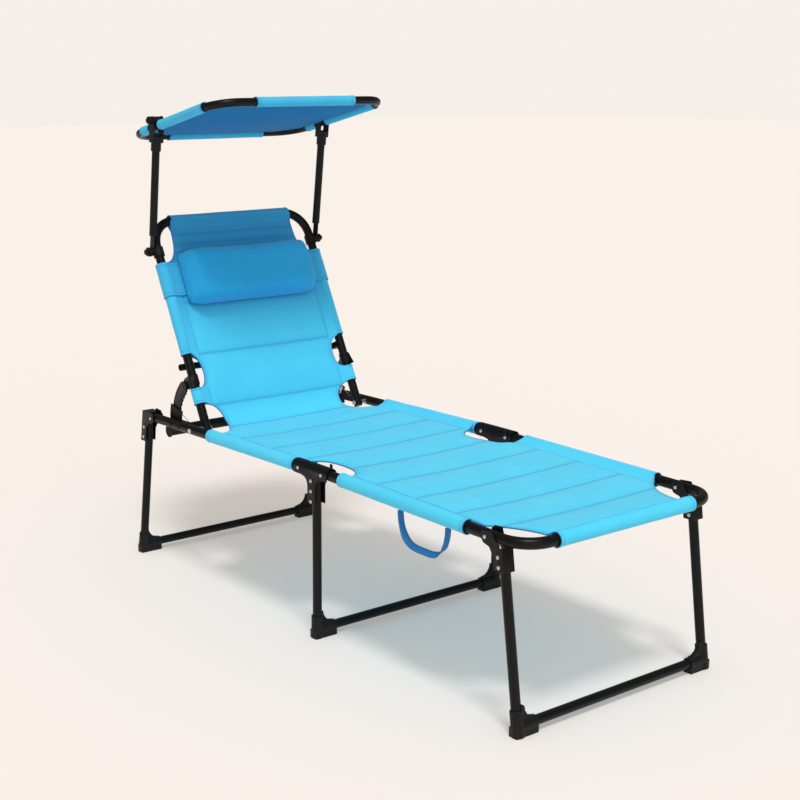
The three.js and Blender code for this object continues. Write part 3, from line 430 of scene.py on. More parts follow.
def tube_shape(points: Sequence[Vector], radius: float, closed: bool = False) -> Shape:
    """Sweeps a round tube along points with a curve, as a bmesh.

    Args:
        points: the tube's centre line.
        radius: its outer radius.
        closed: True for a ring.

    Returns:
        The tube's bmesh with its seams merged and faces outwards.
    """
    curve = bpy.data.curves.new("sweep", "CURVE")
    curve.dimensions = "3D"
    curve.bevel_depth = radius
    curve.bevel_resolution = 6
    curve.use_fill_caps = not closed
    run = curve.splines.new("POLY")
    run.points.add(len(points) - 1)
    for spot, point in zip(run.points, points):
        spot.co = (*point, 1.0)
    run.use_cyclic_u = closed
    holder = linked("sweep", curve)
    bpy.context.view_layer.update()
    mesh = bpy.data.meshes.new_from_object(holder.evaluated_get(bpy.context.evaluated_depsgraph_get()))
    shape = bmesh.new()
    shape.from_mesh(mesh)
    bpy.data.meshes.remove(mesh)
    bpy.data.objects.remove(holder)
    bpy.data.curves.remove(curve)
    bmesh.ops.remove_doubles(shape, verts=shape.verts, dist=0.01 * MM)
    outwards(shape)
    return shape


def tube(
    name: str, body: str, points: Sequence[Vector], radius: float, *nodes: str, closed: bool = False
) -> None:
    """Makes one round steel tube.

    Args:
        name: the piece's name.
        body: the body that it rides on.
        points: its centre line.
        radius: its outer radius.
        nodes: the CAD nodes that it stands for.
        closed: True for a ring.
    """
    placed(as_object(name, tube_shape(points, radius, closed), Finish.STEEL, 50.0), body, *nodes)


def lathe(profile: Sequence[tuple[float, float]], steps: int, place: Matrix) -> Shape:
    """Spins a profile of (along, radius) about the local X axis.

    Args:
        profile: pairs of length along X and radius.
        steps: parts of the full turn.
        place: where the turned shape goes.

    Returns:
        The closed or open turned shape.
    """
    shape = bmesh.new()
    verts = [shape.verts.new((along, 0.0, radius)) for along, radius in profile]
    edges = [shape.edges.new(pair) for pair in zip(verts, verts[1:])]
    bmesh.ops.spin(
        shape, geom=verts + edges, cent=(0, 0, 0), axis=(1, 0, 0), angle=ROUND,
        steps=steps, use_merge=True, use_duplicate=False,
    )
    bmesh.ops.remove_doubles(shape, verts=shape.verts, dist=0.005 * MM)
    outwards(shape)
    shape.transform(place)
    return shape


def merged(shapes: Iterable[Shape]) -> Shape:
    """Puts several bmeshes into one and frees them."""
    whole = bmesh.new()
    for shape in shapes:
        mesh = as_mesh("part", shape)
        whole.from_mesh(mesh)
        bpy.data.meshes.remove(mesh)
    return whole


def write_uv(shape: Shape, rule: Callable[[bmesh.types.BMVert], tuple[float, float]]) -> None:
    """Gives a bmesh a UV map in metres, by the rule for a vertex's place on the flat cloth."""
    layer = shape.loops.layers.uv.verify()
    for face in shape.faces:
        for loop in face.loops:
            loop[layer].uv = rule(loop.vert)


def node_shape(node: str) -> Shape:
    """A copy of a CAD node's mesh."""
    shape = bmesh.new()
    shape.from_mesh(frame["nodes"][node].data)
    return shape


def cad_copy(node: str, name: str, finish: Finish, edge: float, body: str, smooth: float = 38.0) -> None:
    """Copies a CAD node with its edges eased, to stand for it.

    Args:
        node: the CAD node's name.
        name: the new piece's name.
        finish: what it is made of.
        edge: the width of the eased edges.
        body: the body that it rides on.
        smooth: edges below this angle stay unbroken and smooth.
    """
    shape = node_shape(node)
    bmesh.ops.remove_doubles(shape, verts=shape.verts, dist=0.02 * MM)
    flat = math.radians(0.5)
    bmesh.ops.dissolve_limit(shape, angle_limit=flat, verts=shape.verts, edges=shape.edges)
    piece = as_object(name, shape, finish, smooth)
    modify(
        piece, "eased_edges", "BEVEL", width=edge, segments=2, limit_method="ANGLE",
        angle_limit=math.radians(smooth), use_clamp_overlap=True, harden_normals=True,
    )
    placed(piece, body, node)


def moulded_copy(node: str, name: str, body: str, voxel: float = 1.0 * MM, rounds: int = 9) -> None:
    """Copies a moulded CAD node with all its edges rounded, to stand for it.

    Args:
        node: the CAD node's name.
        name: the new piece's name.
        body: the body that it rides on.
        voxel: the grid on which its surface is made anew.
        rounds: how often that surface is smoothed.
    """
    piece = as_object(name, node_shape(node), Finish.PLASTIC, 180.0)
    modify(piece, "even_faces", "REMESH", mode="VOXEL", voxel_size=voxel, use_smooth_shade=True)
    modify(piece, "rounded_edges", "SMOOTH", factor=0.5, iterations=rounds)
    placed(piece, body, node)


# ---------------------------------------------------------------- places taken from the frame


def joint(name: str) -> dict:
    """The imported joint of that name."""
    return next(j for j in frame["joints"] if j["name"] == name)


def pivot(name: str) -> Vector:
    """The place of a joint in the plane of symmetry."""
    place = joint(name)["pos_m"]
    return Vector((0.0, place[1], place[2]))


@dataclass(frozen=True)
class Tilted:
    """A local frame: x across, along a direction in the YZ plane, off at a right angle to it."""

    origin: Vector
    angle: float

    def at(self, x: float, along: float, off: float = 0.0) -> Vector:
        """A point of the local frame in the part's frame."""
        c, s = math.cos(self.angle), math.sin(self.angle)
        return self.origin + Vector((x, along * c - off * s, along * s + off * c))


HEAD_HINGE = pivot("head_legs_fold")
BACK_HINGE = pivot("backrest_tilt")
MIDDLE_HINGE = pivot("middle_legs_fold")
LOW_HINGE = pivot("foot_section_fold")
FOOT_HINGE = pivot("foot_legs_fold")
POST_BOLT = pivot("post_fold")
CANOPY_BOLT = pivot("canopy_tilt")
MIDDLE_Y = (MIDDLE_HINGE.y + LOW_HINGE.y) / 2
SLIDE = Vector(joint("pillow_slide")["axis"])
BACK = Tilted(BACK_HINGE, math.atan2(SLIDE.z, SLIDE.y))


def slope(a: Vector, b: Vector) -> float:
    """The angle of the line from a to b above +Y."""
    return math.atan2(b.z - a.z, b.y - a.y)


SEAT = Tilted(MIDDLE_HINGE, slope(MIDDLE_HINGE, HEAD_HINGE))
FOOT = Tilted(LOW_HINGE, slope(FOOT_HINGE, LOW_HINGE))


# ---------------------------------------------------------------- cloth


@dataclass(frozen=True)
class Sizes:
    """Driving sizes of the tubes and the cloth, as in the part's source."""

    rail_x: float = 288.5 * MM
    rail_radius: float = 12.5 * MM
    stub: float = 5.2 * MM
    sleeve_radius: float = 16.6 * MM
    hinge_half: float = 46 * MM
    back_hinge: float = 543 * MM
    bar_y: float = 714 * MM
    bar_bend: float = 68 * MM
    back_x: float = 249 * MM
    back_length: float = 581 * MM
    back_radius: float = 12 * MM
    back_sleeve: float = 15.0 * MM
    back_bend: float = 70 * MM
    leg_x: float = 286.6 * MM
    leg_radius: float = 11 * MM


S = Sizes()


class Spine:
    """The line of the cloth in the YZ plane, from the foot bar to the top of the backrest.

    Places on it are lengths along the cloth, with zero over the middle legs.
    """

    def __init__(self, crease: float = 62 * MM, ease: float = 40 * MM) -> None:
        """Lays the line out with its bend radii at the backrest and at the middle hinges."""
        low = FOOT.at(0, S.hinge_half - S.bar_y)
        top = BACK.at(0, S.back_length)
        level = SEAT.at(0, S.back_hinge - S.hinge_half - 120 * MM)
        flat = bent_path([low, LOW_HINGE, MIDDLE_HINGE, level], ease, 6)
        self.points = flat[:-1] + bent_path([flat[-1], BACK_HINGE, top], crease, 16)
        self.marks = [0.0]
        for a, b in zip(self.points, self.points[1:]):
            self.marks.append(self.marks[-1] + (b - a).length)
        zero = next(
            m + (MIDDLE_Y - a.y)
            for m, a, b in zip(self.marks, self.points, self.points[1:])
            if a.y <= MIDDLE_Y <= b.y
        )
        self.marks = [m - zero for m in self.marks]

    @property
    def start(self) -> float:
        """Place of the foot bar."""
        return self.marks[0]

    @property
    def end(self) -> float:
        """Place of the backrest's top bar."""
        return self.marks[-1]

    def up_back(self, s: float) -> float:
        """Place of a distance up the backrest from its hinge."""
        return self.end - (S.back_length - s)

    def at(self, t: float) -> tuple[Vector, Vector]:
        """Point in the plane of symmetry and upward unit normal at a place."""
        last = len(self.points) - 2
        i = next((k for k in range(last + 1) if t <= self.marks[k + 1]), last)
        a, b = self.points[i], self.points[i + 1]
        share = (t - self.marks[i]) / (self.marks[i + 1] - self.marks[i])
        along = (b - a).normalized()
        before = (a - self.points[max(i - 1, 0)]).normalized() if i else along
        after = (self.points[min(i + 2, last + 1)] - b).normalized() if i < last else along
        s = min(max(share, 0.0), 1.0)
        way = ((before + along) * (1 - s) + (along + after) * s).normalized()
        return a.lerp(b, share), Vector((0, -way.z, way.y))


def smooth_outline(corners: Sequence[tuple[float, float]], rounds: int = 3) -> list[tuple[float, float]]:
    """Cuts the corners of an outline until it is round.

    Args:
        corners: pairs of place and half width.
        rounds: how often the corners are cut.

    Returns:
        The smooth outline.
    """
    points = list(corners)
    for _ in range(rounds):
        cut = [points[0]]
        for (a, u), (b, v) in zip(points, points[1:]):
            cut += [(a * 0.75 + b * 0.25, u * 0.75 + v * 0.25), (a * 0.25 + b * 0.75, u * 0.25 + v * 0.75)]
        points = [*cut, points[-1]]
    return points


def width_at(outline: Sequence[tuple[float, float]], t: float) -> float:
    """Half width of a smooth outline at a place."""
    for (a, u), (b, v) in zip(outline, outline[1:]):
        if t <= b:
            return u if b - a < 1e-9 else u + (v - u) * max(0.0, (t - a) / (b - a))
    return outline[-1][1]


def wavy(place: Vector, size: float) -> float:
    """Smooth noise between about -1 and 1 with features of the given size."""
    return noise.noise(place / size)


def bell(distance: float, width: float) -> float:
    """Bell curve that is 1 at no distance and falls off over the width."""
    return math.exp(-((distance / width) ** 2))


def ramp(value: float, low: float, high: float) -> float:
    """Smooth step from 0 at low to 1 at high."""
    s = min(max((value - low) / (high - low), 0.0), 1.0)
    return s * s * (3 - 2 * s)


@dataclass
class ClothLength:
    """One quilted length of the cloth along the spine, with crown, seams, binding and stitches."""

    name: str
    spine: Spine
    outline: list[tuple[float, float]]
    seams: list[float]
    start: float
    end: float
    edge_x: Callable[[float], float]
    columns: int = 120
    row: float = 3.0 * MM
    bare: float = 1.1 * MM
    crown: float = 6.0 * MM
    sag: float = 6.0 * MM
    roll: float = 36 * MM
    tube: float = 16.2 * MM
    sleeve_gap: float = 10 * MM
    hem: float = 7 * MM
    stitch: float = 4.6 * MM
    # Depth of the painted shade of the canopy on the top of the backrest.
    head_shade_depth: float = 0.66
    lift: float = 1.5 * MM
    pucker: float = 0.5 * MM
    pucker_reach: float = 9 * MM
    folds: tuple[tuple[float, float, float], ...] = ((1.2 * MM, 95 * MM, 7.7), (0.4 * MM, 33 * MM, 1.3))
    # Darkness of a sewn seam line, which is partly painted shade in its groove, and of the painted shade in
    # the broad valley beside a cross seam.
    seam_line_and_shade: float = 0.45
    valley_painted_shade: float = 0.15
    hem_tone: float = 0.5
    rim_tone: float = 0.8

    def painted_head_shade(self, t: float) -> float:
        """Share of painted shade that the cloth takes towards the head end: slight just above the backrest
        hinge, deep under the canopy.
        """
        up = t - self.spine.up_back(0.0)
        return 0.1 * ramp(up, 0.0, 90 * MM) + self.head_shade_depth * ramp(up, 190 * MM, 500 * MM)

    def swell(self, t: float) -> float:
        """Share of the full crown at a place, zero on each seam."""
        stops = [self.spine.start, *self.seams, self.spine.end]
        for a, b in zip(stops, stops[1:]):
            if t <= b:
                share = (t - a) / (b - a)
                full = min(1.0, ((b - a) / (110 * MM)) ** 0.7)
                return full * max(0.0, math.sin(math.pi * min(max(share, 0.0), 1.0))) ** 0.6
        return 0.0

    def seam_distance(self, t: float) -> float:
        """Distance to the nearest seam."""
        return min((abs(t - s) for s in self.seams), default=1.0)

    def teardrop(self, inward: float) -> float:
        """Half height of the cloth that leaves a tube on both sides and meets at its seam."""
        radius, roll = self.tube, self.roll
        if inward >= roll:
            return 0.0
        touch = radius * radius / roll
        if inward <= touch:
            return math.sqrt(max(radius**2 - inward**2, 0.0))
        return math.sqrt(radius**2 - touch**2) * (roll - inward) / (roll - touch)

    def bar_distance(self, t: float) -> float:
        """Distance along the cloth to the nearer of foot bar and top bar."""
        return min(t - self.spine.start, self.spine.end - t)

    def layer(self, x: float, t: float) -> tuple[Vector, Vector, float, float]:
        """Middle surface and thickness of the cloth.

        Args:
            x: place across.
            t: place along.

        Returns:
            Point, normal, height above and height below the middle surface.
        """
        point, normal = self.spine.at(t)
        side = self.edge_x(t)
        inward = side - abs(x)
        gap = width_at(self.outline, t) - abs(x)
        share = min(abs(x) / side, 1.0)
        free = ramp(inward, self.roll * 0.6, self.roll * 1.8)
        drop = self.sag * (1 - share**2) * ramp(self.bar_distance(t), 20 * MM, 120 * MM)
        near_seam = bell(self.seam_distance(t), self.pucker_reach)
        pucker = self.pucker * near_seam * wavy(Vector((x, t * 0.3, 3.1)), self.pucker_reach)
        loose = sum(high * wavy(Vector((x, t, seed)), size) for high, size, seed in self.folds)
        place = point + Vector((x, 0, 0)) + normal * (free * (self.lift - drop + loose) + pucker * free)
        roll = max(self.teardrop(inward), self.teardrop(self.bar_distance(t)))
        crown = self.crown * self.swell(t) * ramp(gap, 0.0, 30 * MM) * free
        bare = self.bare - 0.5 * MM * bell(gap - self.hem, 1.8 * MM)
        return place, normal, max(bare + crown, roll), max(bare + 0.35 * crown, roll)

    def crease(self, x: float, t: float) -> float:
        """Darkening of the sewn lines: cross seams, sleeve seams and the hem of the cut-outs. The cross and
        sleeve seams are partly painted shade in their grooves. Painted shade also lies in a broad valley
        beside each cross seam and towards the head end.
        """
        side = self.edge_x(t)
        half = width_at(self.outline, t)
        gap = half - abs(x)
        inward = side - abs(x)
        away = self.seam_distance(t)
        # Painted shade: a narrow dark line on each cross seam, partly the thread, and a broad painted shade
        # in the valley on either side.
        line = self.seam_line_and_shade * bell(away, 2.4 * MM) + self.valley_painted_shade * bell(away, 11 * MM)
        line *= ramp(inward, self.roll - 2 * MM, self.roll + 2 * MM)
        if half > side - self.sleeve_gap:
            line = max(line, self.seam_line_and_shade * bell(inward - self.roll, 2.0 * MM))
        else:
            hem = self.hem_tone * bell(gap - self.hem, 1.5 * MM)
            line = max(line, hem, self.rim_tone * (1 - ramp(gap, 0.4 * MM, 2.2 * MM)))
        # The painted shade of the head end is laid over the sewn lines.
        return 1 - (1 - line) * (1 - self.painted_head_shade(t))

    def shape(self) -> Shape:
        """The closed quilted sheet as a bmesh with its UV map and sewn lines."""
        rows = max(4, round((self.end - self.start) / self.row))
        shape = bmesh.new()
        bmesh.ops.create_grid(shape, x_segments=self.columns, y_segments=rows, size=1.0)
        across = shape.verts.layers.float.new("across")
        along = shape.verts.layers.float.new("along")
        dark = shape.verts.layers.float.new(SEWN_LINES_AND_SHADE)
        for vert in shape.verts:
            t = self.start + (self.end - self.start) * (vert.co.y + 1) / 2
            u = vert.co.x
            vert[across] = (1.3 * u - 0.3 * u**3) * width_at(self.outline, t)
            vert[along] = t
            vert[dark] = self.crease(vert[across], t)
        lower = set(shape.verts)
        bmesh.ops.extrude_face_region(shape, geom=list(shape.faces), use_keep_orig=True)
        for vert in shape.verts:
            place, normal, above, below = self.layer(vert[across], vert[along])
            vert.co = place - normal * below if vert in lower else place + normal * above
        outwards(shape)
        write_uv(shape, lambda vert: (vert[across], vert[along]))
        return shape

    def binding(self) -> Shape:
        """The narrow turned hem along the cut-outs of both free edges."""
        rows = max(8, round((self.end - self.start) / (2 * MM)))
        tapes = []
        for side in SIDES.values():
            run: list[Vector] = []
            for k in range(rows + 2):
                t = self.start + (self.end - self.start) * min(k, rows) / rows
                half = width_at(self.outline, t)
                if k <= rows and half < self.edge_x(t) - self.sleeve_gap:
                    run.append(self.layer(side * (half - 0.3 * MM), t)[0])
                    continue
                if len(run) > 2:
                    tapes.append(tube_shape(run, 1.7 * MM))
                    write_uv(tapes[-1], lambda vert: (vert.co.x, vert.co.y + vert.co.z))
                run = []
        return merged(tapes)

    def stitches(self) -> Shape:
        """Rows of stitches: one along each seam and one along each sleeve seam."""
        shape = bmesh.new()
        runs = []
        for seam in self.seams:
            if self.start < seam < self.end:
                half = min(width_at(self.outline, seam) - 6 * MM, self.edge_x(seam) - self.roll)
                count = int(2 * half / self.stitch)
                runs += [(-half + 2 * half * k / count, seam, True) for k in range(count + 1)]
        count = int((self.end - self.start) / self.stitch)
        for side in SIDES.values():
            for k in range(count):
                t = self.start + (self.end - self.start) * (k + 0.5) / count
                x = self.edge_x(t) - self.roll
                if x < width_at(self.outline, t) - 5 * MM:
                    runs.append((side * x, t, False))
        for x, t, across in runs:
            place, normal, above, _ = self.layer(x, t)
            step = Vector((MM, 0, 0)) if across else self.layer(x, t + MM)[0] - place
            way = step.normalized()
            turn = Matrix((way, normal.cross(way), normal)).transposed().to_4x4()
            size = Matrix.Diagonal((1.7 * MM, 0.42 * MM, 0.34 * MM, 1.0))
            spot = Matrix.Translation(place + normal * above) @ turn @ size
            bmesh.ops.create_icosphere(shape, subdivisions=1, radius=1.0, matrix=spot)
        write_uv(shape, lambda vert: (vert.co.x, vert.co.y))
        return shape

    def pieces(self) -> list[Piece]:
        """Makes the cloth, its binding and its stitches as objects."""
        return [
            as_object(self.name, self.shape(), Finish.CLOTH),
            as_object(f"{self.name}_binding", self.binding(), Finish.BINDING),
            as_object(f"{self.name}_stitches", self.stitches(), Finish.THREAD),
        ]


@dataclass
class Sleeve:
    """A sewn cloth sleeve round a straight stretch of tube, with hemmed open ends."""

    name: str
    body: str
    line: Tilted
    a: tuple[float, float]
    b: tuple[float, float]
    radius: float
    finish: Finish = Finish.CLOTH
    wall: float = 1.3 * MM
    turns: int = 44
    ripple: float = 0.45 * MM
    hem: float = 9 * MM
    # Share of painted shade laid over the whole sleeve. It is used on the backrest sleeves, which lie in the
    # canopy's shade.
    tone: float = 0.0
    row: float = 5 * MM
    end_rows: tuple[float, ...] = (0.0, 0.8, 1.8, 3.0, 4.5, 6.0, 7.5, 9.0, 10.5, 12.0)
    end_reach: float = 14 * MM

    def build(self) -> Piece:
        """Makes the sleeve and lets it ride on its body."""
        first, last = self.line.at(*self.a), self.line.at(*self.b)
        length = (last - first).length
        count = max(8, int(length / self.row))
        ends = [k * MM for k in self.end_rows]
        middle = [length * k / count for k in range(count + 1)]
        middle = [m for m in middle if self.end_reach < m < length - self.end_reach]
        stations = [*ends, *middle, *(length - e for e in reversed(ends))]
        inner = self.radius - self.wall
        outside = [(s, self.radius + self.hem_swell(s, length)) for s in stations]
        inside = [(length, inner), (length / 2, inner), (0.0, inner)]
        profile = [*outside, *inside, outside[0]]
        way = (last - first).normalized()
        off = Vector((1, 0, 0)) if abs(way.x) < 0.9 else Vector((0, 0, 1))
        third = way.cross(off).normalized()
        place = Matrix((way, third.cross(way), third)).transposed().to_4x4()
        shape = lathe(profile, self.turns, Matrix.Identity(4))
        lift = shape.verts.layers.float.new("turn")
        dark = shape.verts.layers.float.new(SEWN_LINES_AND_SHADE)
        for vert in shape.verts:
            near = min(vert.co.x, length - vert.co.x)
            rim = 0.85 * (1 - ramp(near, 0.5 * MM, 2.5 * MM))
            line = max(rim, 0.5 * bell(near - self.hem, 1.5 * MM))
            # The sewn rim and hem lines, with the sleeve's painted shade laid over them.
            vert[dark] = 1 - (1 - line) * (1 - self.tone)
            vert[lift] = math.atan2(vert.co.y, vert.co.z) * self.radius
            reach = math.hypot(vert.co.y, vert.co.z)
            if reach > inner + self.wall * 0.5:
                spot = Vector((vert.co.x * 0.35, vert.co.y * 2.2, vert.co.z * 2.2))
                wide = self.ripple * wavy(spot + first * 3, 16 * MM)
                spot = Vector((vert.co.x, vert.co.y * 3, vert.co.z * 3))
                fine = self.ripple * 0.4 * wavy(spot + last, 7 * MM)
                factor = 1 + (wide + fine) / reach
                vert.co.y *= factor
                vert.co.z *= factor
        write_uv(shape, lambda vert: (vert[lift], vert.co.x))
        shape.transform(Matrix.Translation(first) @ place)
        outwards(shape)
        return placed(as_object(self.name, shape, self.finish, 50.0), self.body)

    def hem_swell(self, s: float, length: float) -> float:
        """Extra radius of the folded hem near each end, with the groove of its seam."""
        near = min(s, length - s)
        fold = 0.6 * MM * (1 - ramp(near, self.hem * 0.6, self.hem))
        return fold - 0.5 * MM * bell(near - self.hem, 1.6 * MM)


@dataclass
class QuiltedCloth:
    """The whole quilted cloth: foot, seat and backrest lengths with their sleeves."""

    spine: Spine = field(default_factory=Spine)
    foot_seams: tuple[float, ...] = (46, 185, 325, 463, 587)
    seat_seams: tuple[float, ...] = (94, 234, 374, 512)
    back_seams: tuple[float, ...] = (57, 201, 345, 487, 511, 539)
    foot_edge: tuple[tuple[float, float], ...] = (
        (-708, 200), (-685, 199), (-655, 203), (-625, 213), (-600, 224), (-578, 240), (-560, 257),
        (-548, 272), (-541, 284.5), (-112, 284.5), (-106, 270), (-98, 250), (-85, 232), (-65, 219),
        (-33, 212), (0, 210),
    )
    seat_edge: tuple[tuple[float, float], ...] = (
        (25, 211), (45, 216), (60, 228), (70, 244), (77, 264), (80, 284.5), (453, 284.5), (457, 262),
        (466, 233), (483, 215), (508, 199), (525, 191),
    )
    back_edge: tuple[tuple[float, float], ...] = (
        (0, 189), (28, 190), (45, 198), (57, 210), (64, 226), (68, 245), (107, 245), (111, 224),
        (131, 214), (154, 212), (183, 217), (198, 232), (204, 245), (459, 245), (464, 226),
        (470, 214), (488, 203), (511, 197), (546, 195), (574, 195.5),
    )
    split: float = 300 * MM
    turn_up: float = 62 * MM

    def outline(self) -> list[tuple[float, float]]:
        """Smooth half-width outline of the whole cloth."""
        corners = [(t * MM, x * MM) for t, x in (*self.foot_edge, *self.seat_edge)]
        corners += [(self.spine.up_back(s * MM), x * MM) for s, x in self.back_edge]
        return smooth_outline(corners, 2)

    def seams(self) -> list[float]:
        """Places of all seams along the cloth."""
        foot = [-s * MM for s in reversed(self.foot_seams)]
        seat = [s * MM for s in self.seat_seams]
        return [*foot, *seat, *(self.spine.up_back(s * MM) for s in self.back_seams)]

    def edge_x(self, t: float) -> float:
        """Half distance between the side tubes at a place."""
        share = ramp(t, S.back_hinge - 60 * MM, S.back_hinge + 30 * MM)
        return S.rail_x + (S.back_x - S.rail_x) * share

    def build(self) -> None:
        """Makes the lengths and sleeves; the backrest length rides on the backrest."""
        outline, seams = self.outline(), self.seams()
        spine = self.spine
        start, end = spine.start + 4 * MM, spine.end - 4 * MM
        turn = spine.up_back(self.turn_up)
        low, high = spine.at(-S.hinge_half - 20 * MM)[0], spine.at(-4 * MM)[0]
        seat_low, seat_high = spine.at(S.hinge_half + 20 * MM)[0], spine.at(4 * MM)[0]
        crease_low, crease_high = spine.at(S.back_hinge - 70 * MM)[0], spine.at(turn - 4 * MM)[0]

        def length(name: str, a: float, b: float) -> list[Piece]:
            """One length of the cloth between two places."""
            tube = 14.6 * MM if a > S.back_hinge else 16.2 * MM
            return ClothLength(name, spine, outline, seams, a, b, self.edge_x, tube=tube).pieces()

        foot = length("foot_cloth", start, 0.0)
        seat = length("seat_cloth", 0.0, self.split)
        crease = length("seat_to_back_cloth", self.split, turn)
        back = length("back_cloth", turn, end)
        for piece in foot:
            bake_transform(piece)
        for piece in seat:
            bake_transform(piece)
        for piece in crease:
            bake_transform(piece)
        for piece in back:
            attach(piece, "back")
        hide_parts("foot_panel")
        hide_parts("seat_panel")
        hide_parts("back_panel")
        for piece in (foot[0], seat[0], crease[0], back[0]):
            LOG.info("%s, %d faces", piece.name, len(piece.data.polygons))
        self.sleeves()

    def sleeves(self) -> None:
        """Makes the sleeves of rails, foot bar, backrest and top bar."""
        half, thick, slim = S.hinge_half, S.sleeve_radius, S.back_sleeve
        for side, way in SIDES.items():
            rail, post = way * S.rail_x, way * S.back_x
            for name, body, line, x, a, b, radius, sizes in (
                ("seat_sleeve", "seat", SEAT, rail, 72 * MM - half, 458 * MM - half, thick, {}),
                ("foot_sleeve", "foot_section", FOOT, rail, half - 543 * MM, half - 108 * MM, thick, {}),
                # The backrest sleeves and tab take painted shade: a little on the tab and more higher up.
                ("back_sleeve", "back", BACK, post, 203 * MM, 460 * MM, slim, {"tone": 0.3}),
                ("back_tab", "back", BACK, post, 66 * MM, 109 * MM, slim, {"tone": 0.1, "hem": 6 * MM}),
            ):
                Sleeve(f"{name}_{side}", body, line, (x, a), (x, b), radius, **sizes).build()
        x, bar = 205 * MM, half - S.bar_y
        Sleeve("foot_bar_sleeve", "foot_section", FOOT, (-x, bar), (x, bar), thick).build()
        x, bar = 192 * MM, S.back_length
        # The top bar's sleeve takes deep painted shade, as it lies under the canopy.
        Sleeve("back_top_sleeve", "back", BACK, (-x, bar), (x, bar), slim, tone=0.66).build()


# ---------------------------------------------------------------- tubes, legs and hard pieces


@dataclass
class TubeFrames:
    """The bent and straight steel tubes."""

    canopy_x: float = 266 * MM
    canopy_depth: float = 446 * MM
    canopy_back: float = 150 * MM
    canopy_radius: float = 10.5 * MM
    canopy_bend: float = 70 * MM
    canopy_angle: float = 12.6
    saddle_bolt: float = 15 * MM

    def roof(self) -> Tilted:
        """The canopy's local frame."""
        tilt = -math.radians(self.canopy_angle)
        drop = Vector((0, math.sin(tilt), -math.cos(tilt))) * self.saddle_bolt
        return Tilted(CANOPY_BOLT + drop, tilt)

    def bow(self, line: Tilted, x: float, end: float, bar: float, bend: float) -> list[Vector]:
        """Centre line of a bow: sides at -x and x from a common end, joined by a bar."""
        return bent_path([line.at(*spot) for spot in ((-x, end), (-x, bar), (x, bar), (x, end))], bend)

    def build(self) -> None:
        """Makes every tube in the place of its CAD node."""
        seat_end = (HEAD_HINGE - MIDDLE_HINGE).length
        for side, way in SIDES.items():
            ends = [SEAT.at(way * S.rail_x, y) for y in (-S.stub, seat_end + 12 * MM)]
            tube(f"seat_tube_{side}", "seat", ends, S.rail_radius, f"seat_rail_{side}")
        foot = self.bow(FOOT, S.rail_x, S.stub, S.hinge_half - S.bar_y, S.bar_bend)
        tube("foot_tube", "foot_section", foot, S.rail_radius, "foot_frame")
        back = self.bow(BACK, S.back_x, -11 * MM, S.back_length, S.back_bend)
        tube("back_tube", "back", back, S.back_radius, "back_frame")
        roof, x, rear = self.roof(), self.canopy_x, self.canopy_back
        front = rear - self.canopy_depth
        spots = ((0, rear), (x, rear), (x, front), (-x, front), (-x, rear), (-1 * MM, rear))
        ring = bent_path([roof.at(*spot) for spot in spots], self.canopy_bend)
        tube("canopy_tube", "canopy", ring[:-1], self.canopy_radius, "canopy_frame", closed=True)


@dataclass
class LegFrame:
    """One pair of legs: brackets with rivets, tubes, crossbar and moulded feet."""

    name: str
    body: str
    hinge: Vector
    rivet_drops: tuple[float, ...]
    extra_hinge: Optional[Vector] = None
    cheek: float = 15.6 * MM
    cheek_wall: float = 1.0 * MM
    rivet_radius: float = 4.6 * MM
    rivet_height: float = 1.6 * MM

    def rivet(self, place: Vector, way: float) -> Shape:
        """One domed rivet head with its foot at a place; way is 1 to face +X and -1 to face -X."""
        r, h = self.rivet_radius, self.rivet_height
        arc = [(h * math.sin(a), r * math.cos(a)) for a in (0.0, 0.35, 0.7, 1.05, 1.4)]
        profile = [(-0.3 * MM, 0.0), (-0.3 * MM, r), *arc, (h * 1.02, 0.0)]
        turn = Matrix.Diagonal((way, 1, 1, 1))
        shape = lathe(profile, 20, Matrix.Translation(place) @ turn)
        outwards(shape)
        return shape

    def leg_point(self, side: str, z: float) -> float:
        """The leg tube's y at a height, from the CAD node's box and lean."""
        low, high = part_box(f"{self.name}_leg_{side}")
        foot_y, top_y = high.y - S.leg_radius, low.y + S.leg_radius
        if self.name == "foot":
            foot_y, top_y = top_y, foot_y
        return foot_y + (top_y - foot_y) * ((z - low.z) / (high.z - low.z))

    def build(self) -> None:
        """Makes the whole leg frame."""
        for side, way in SIDES.items():
            low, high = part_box(f"{self.name}_leg_{side}")
            ends = [Vector((way * S.leg_x, self.leg_point(side, z), z)) for z in (low.z, high.z)]
            own = f"{self.name}_leg_tube_{side}"
            tube(own, self.body, ends, S.leg_radius, f"{self.name}_leg_{side}")
            cheeks = f"{self.name}_cheeks_{side}"
            cad_copy(f"{self.name}_bracket_{side}", cheeks, Finish.STEEL, 0.7 * MM, self.body)
            moulded_copy(f"{self.name}_foot_{side}", f"{self.name}_elbow_{side}", self.body)
            levels = [self.hinge.z - drop for drop in self.rivet_drops]
            spots = [self.hinge, *([self.extra_hinge] if self.extra_hinge else [])]
            spots += [Vector((0, self.leg_point(side, z), z)) for z in levels]
            outer = self.cheek + self.cheek_wall
            heads = merged(
                self.rivet(Vector((way * S.rail_x + face * outer, spot.y, spot.z)), face)
                for spot in spots
                for face in (1, -1)
            )
            placed(as_object(f"{self.name}_rivets_{side}", heads, Finish.ZINC, 50.0), self.body)
        low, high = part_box(f"{self.name}_crossbar")
        middle = (low + high) / 2
        ends = [Vector((x, middle.y, middle.z)) for x in (low.x, high.x)]
        tube(f"{self.name}_cross_tube", self.body, ends, S.leg_radius, f"{self.name}_crossbar")


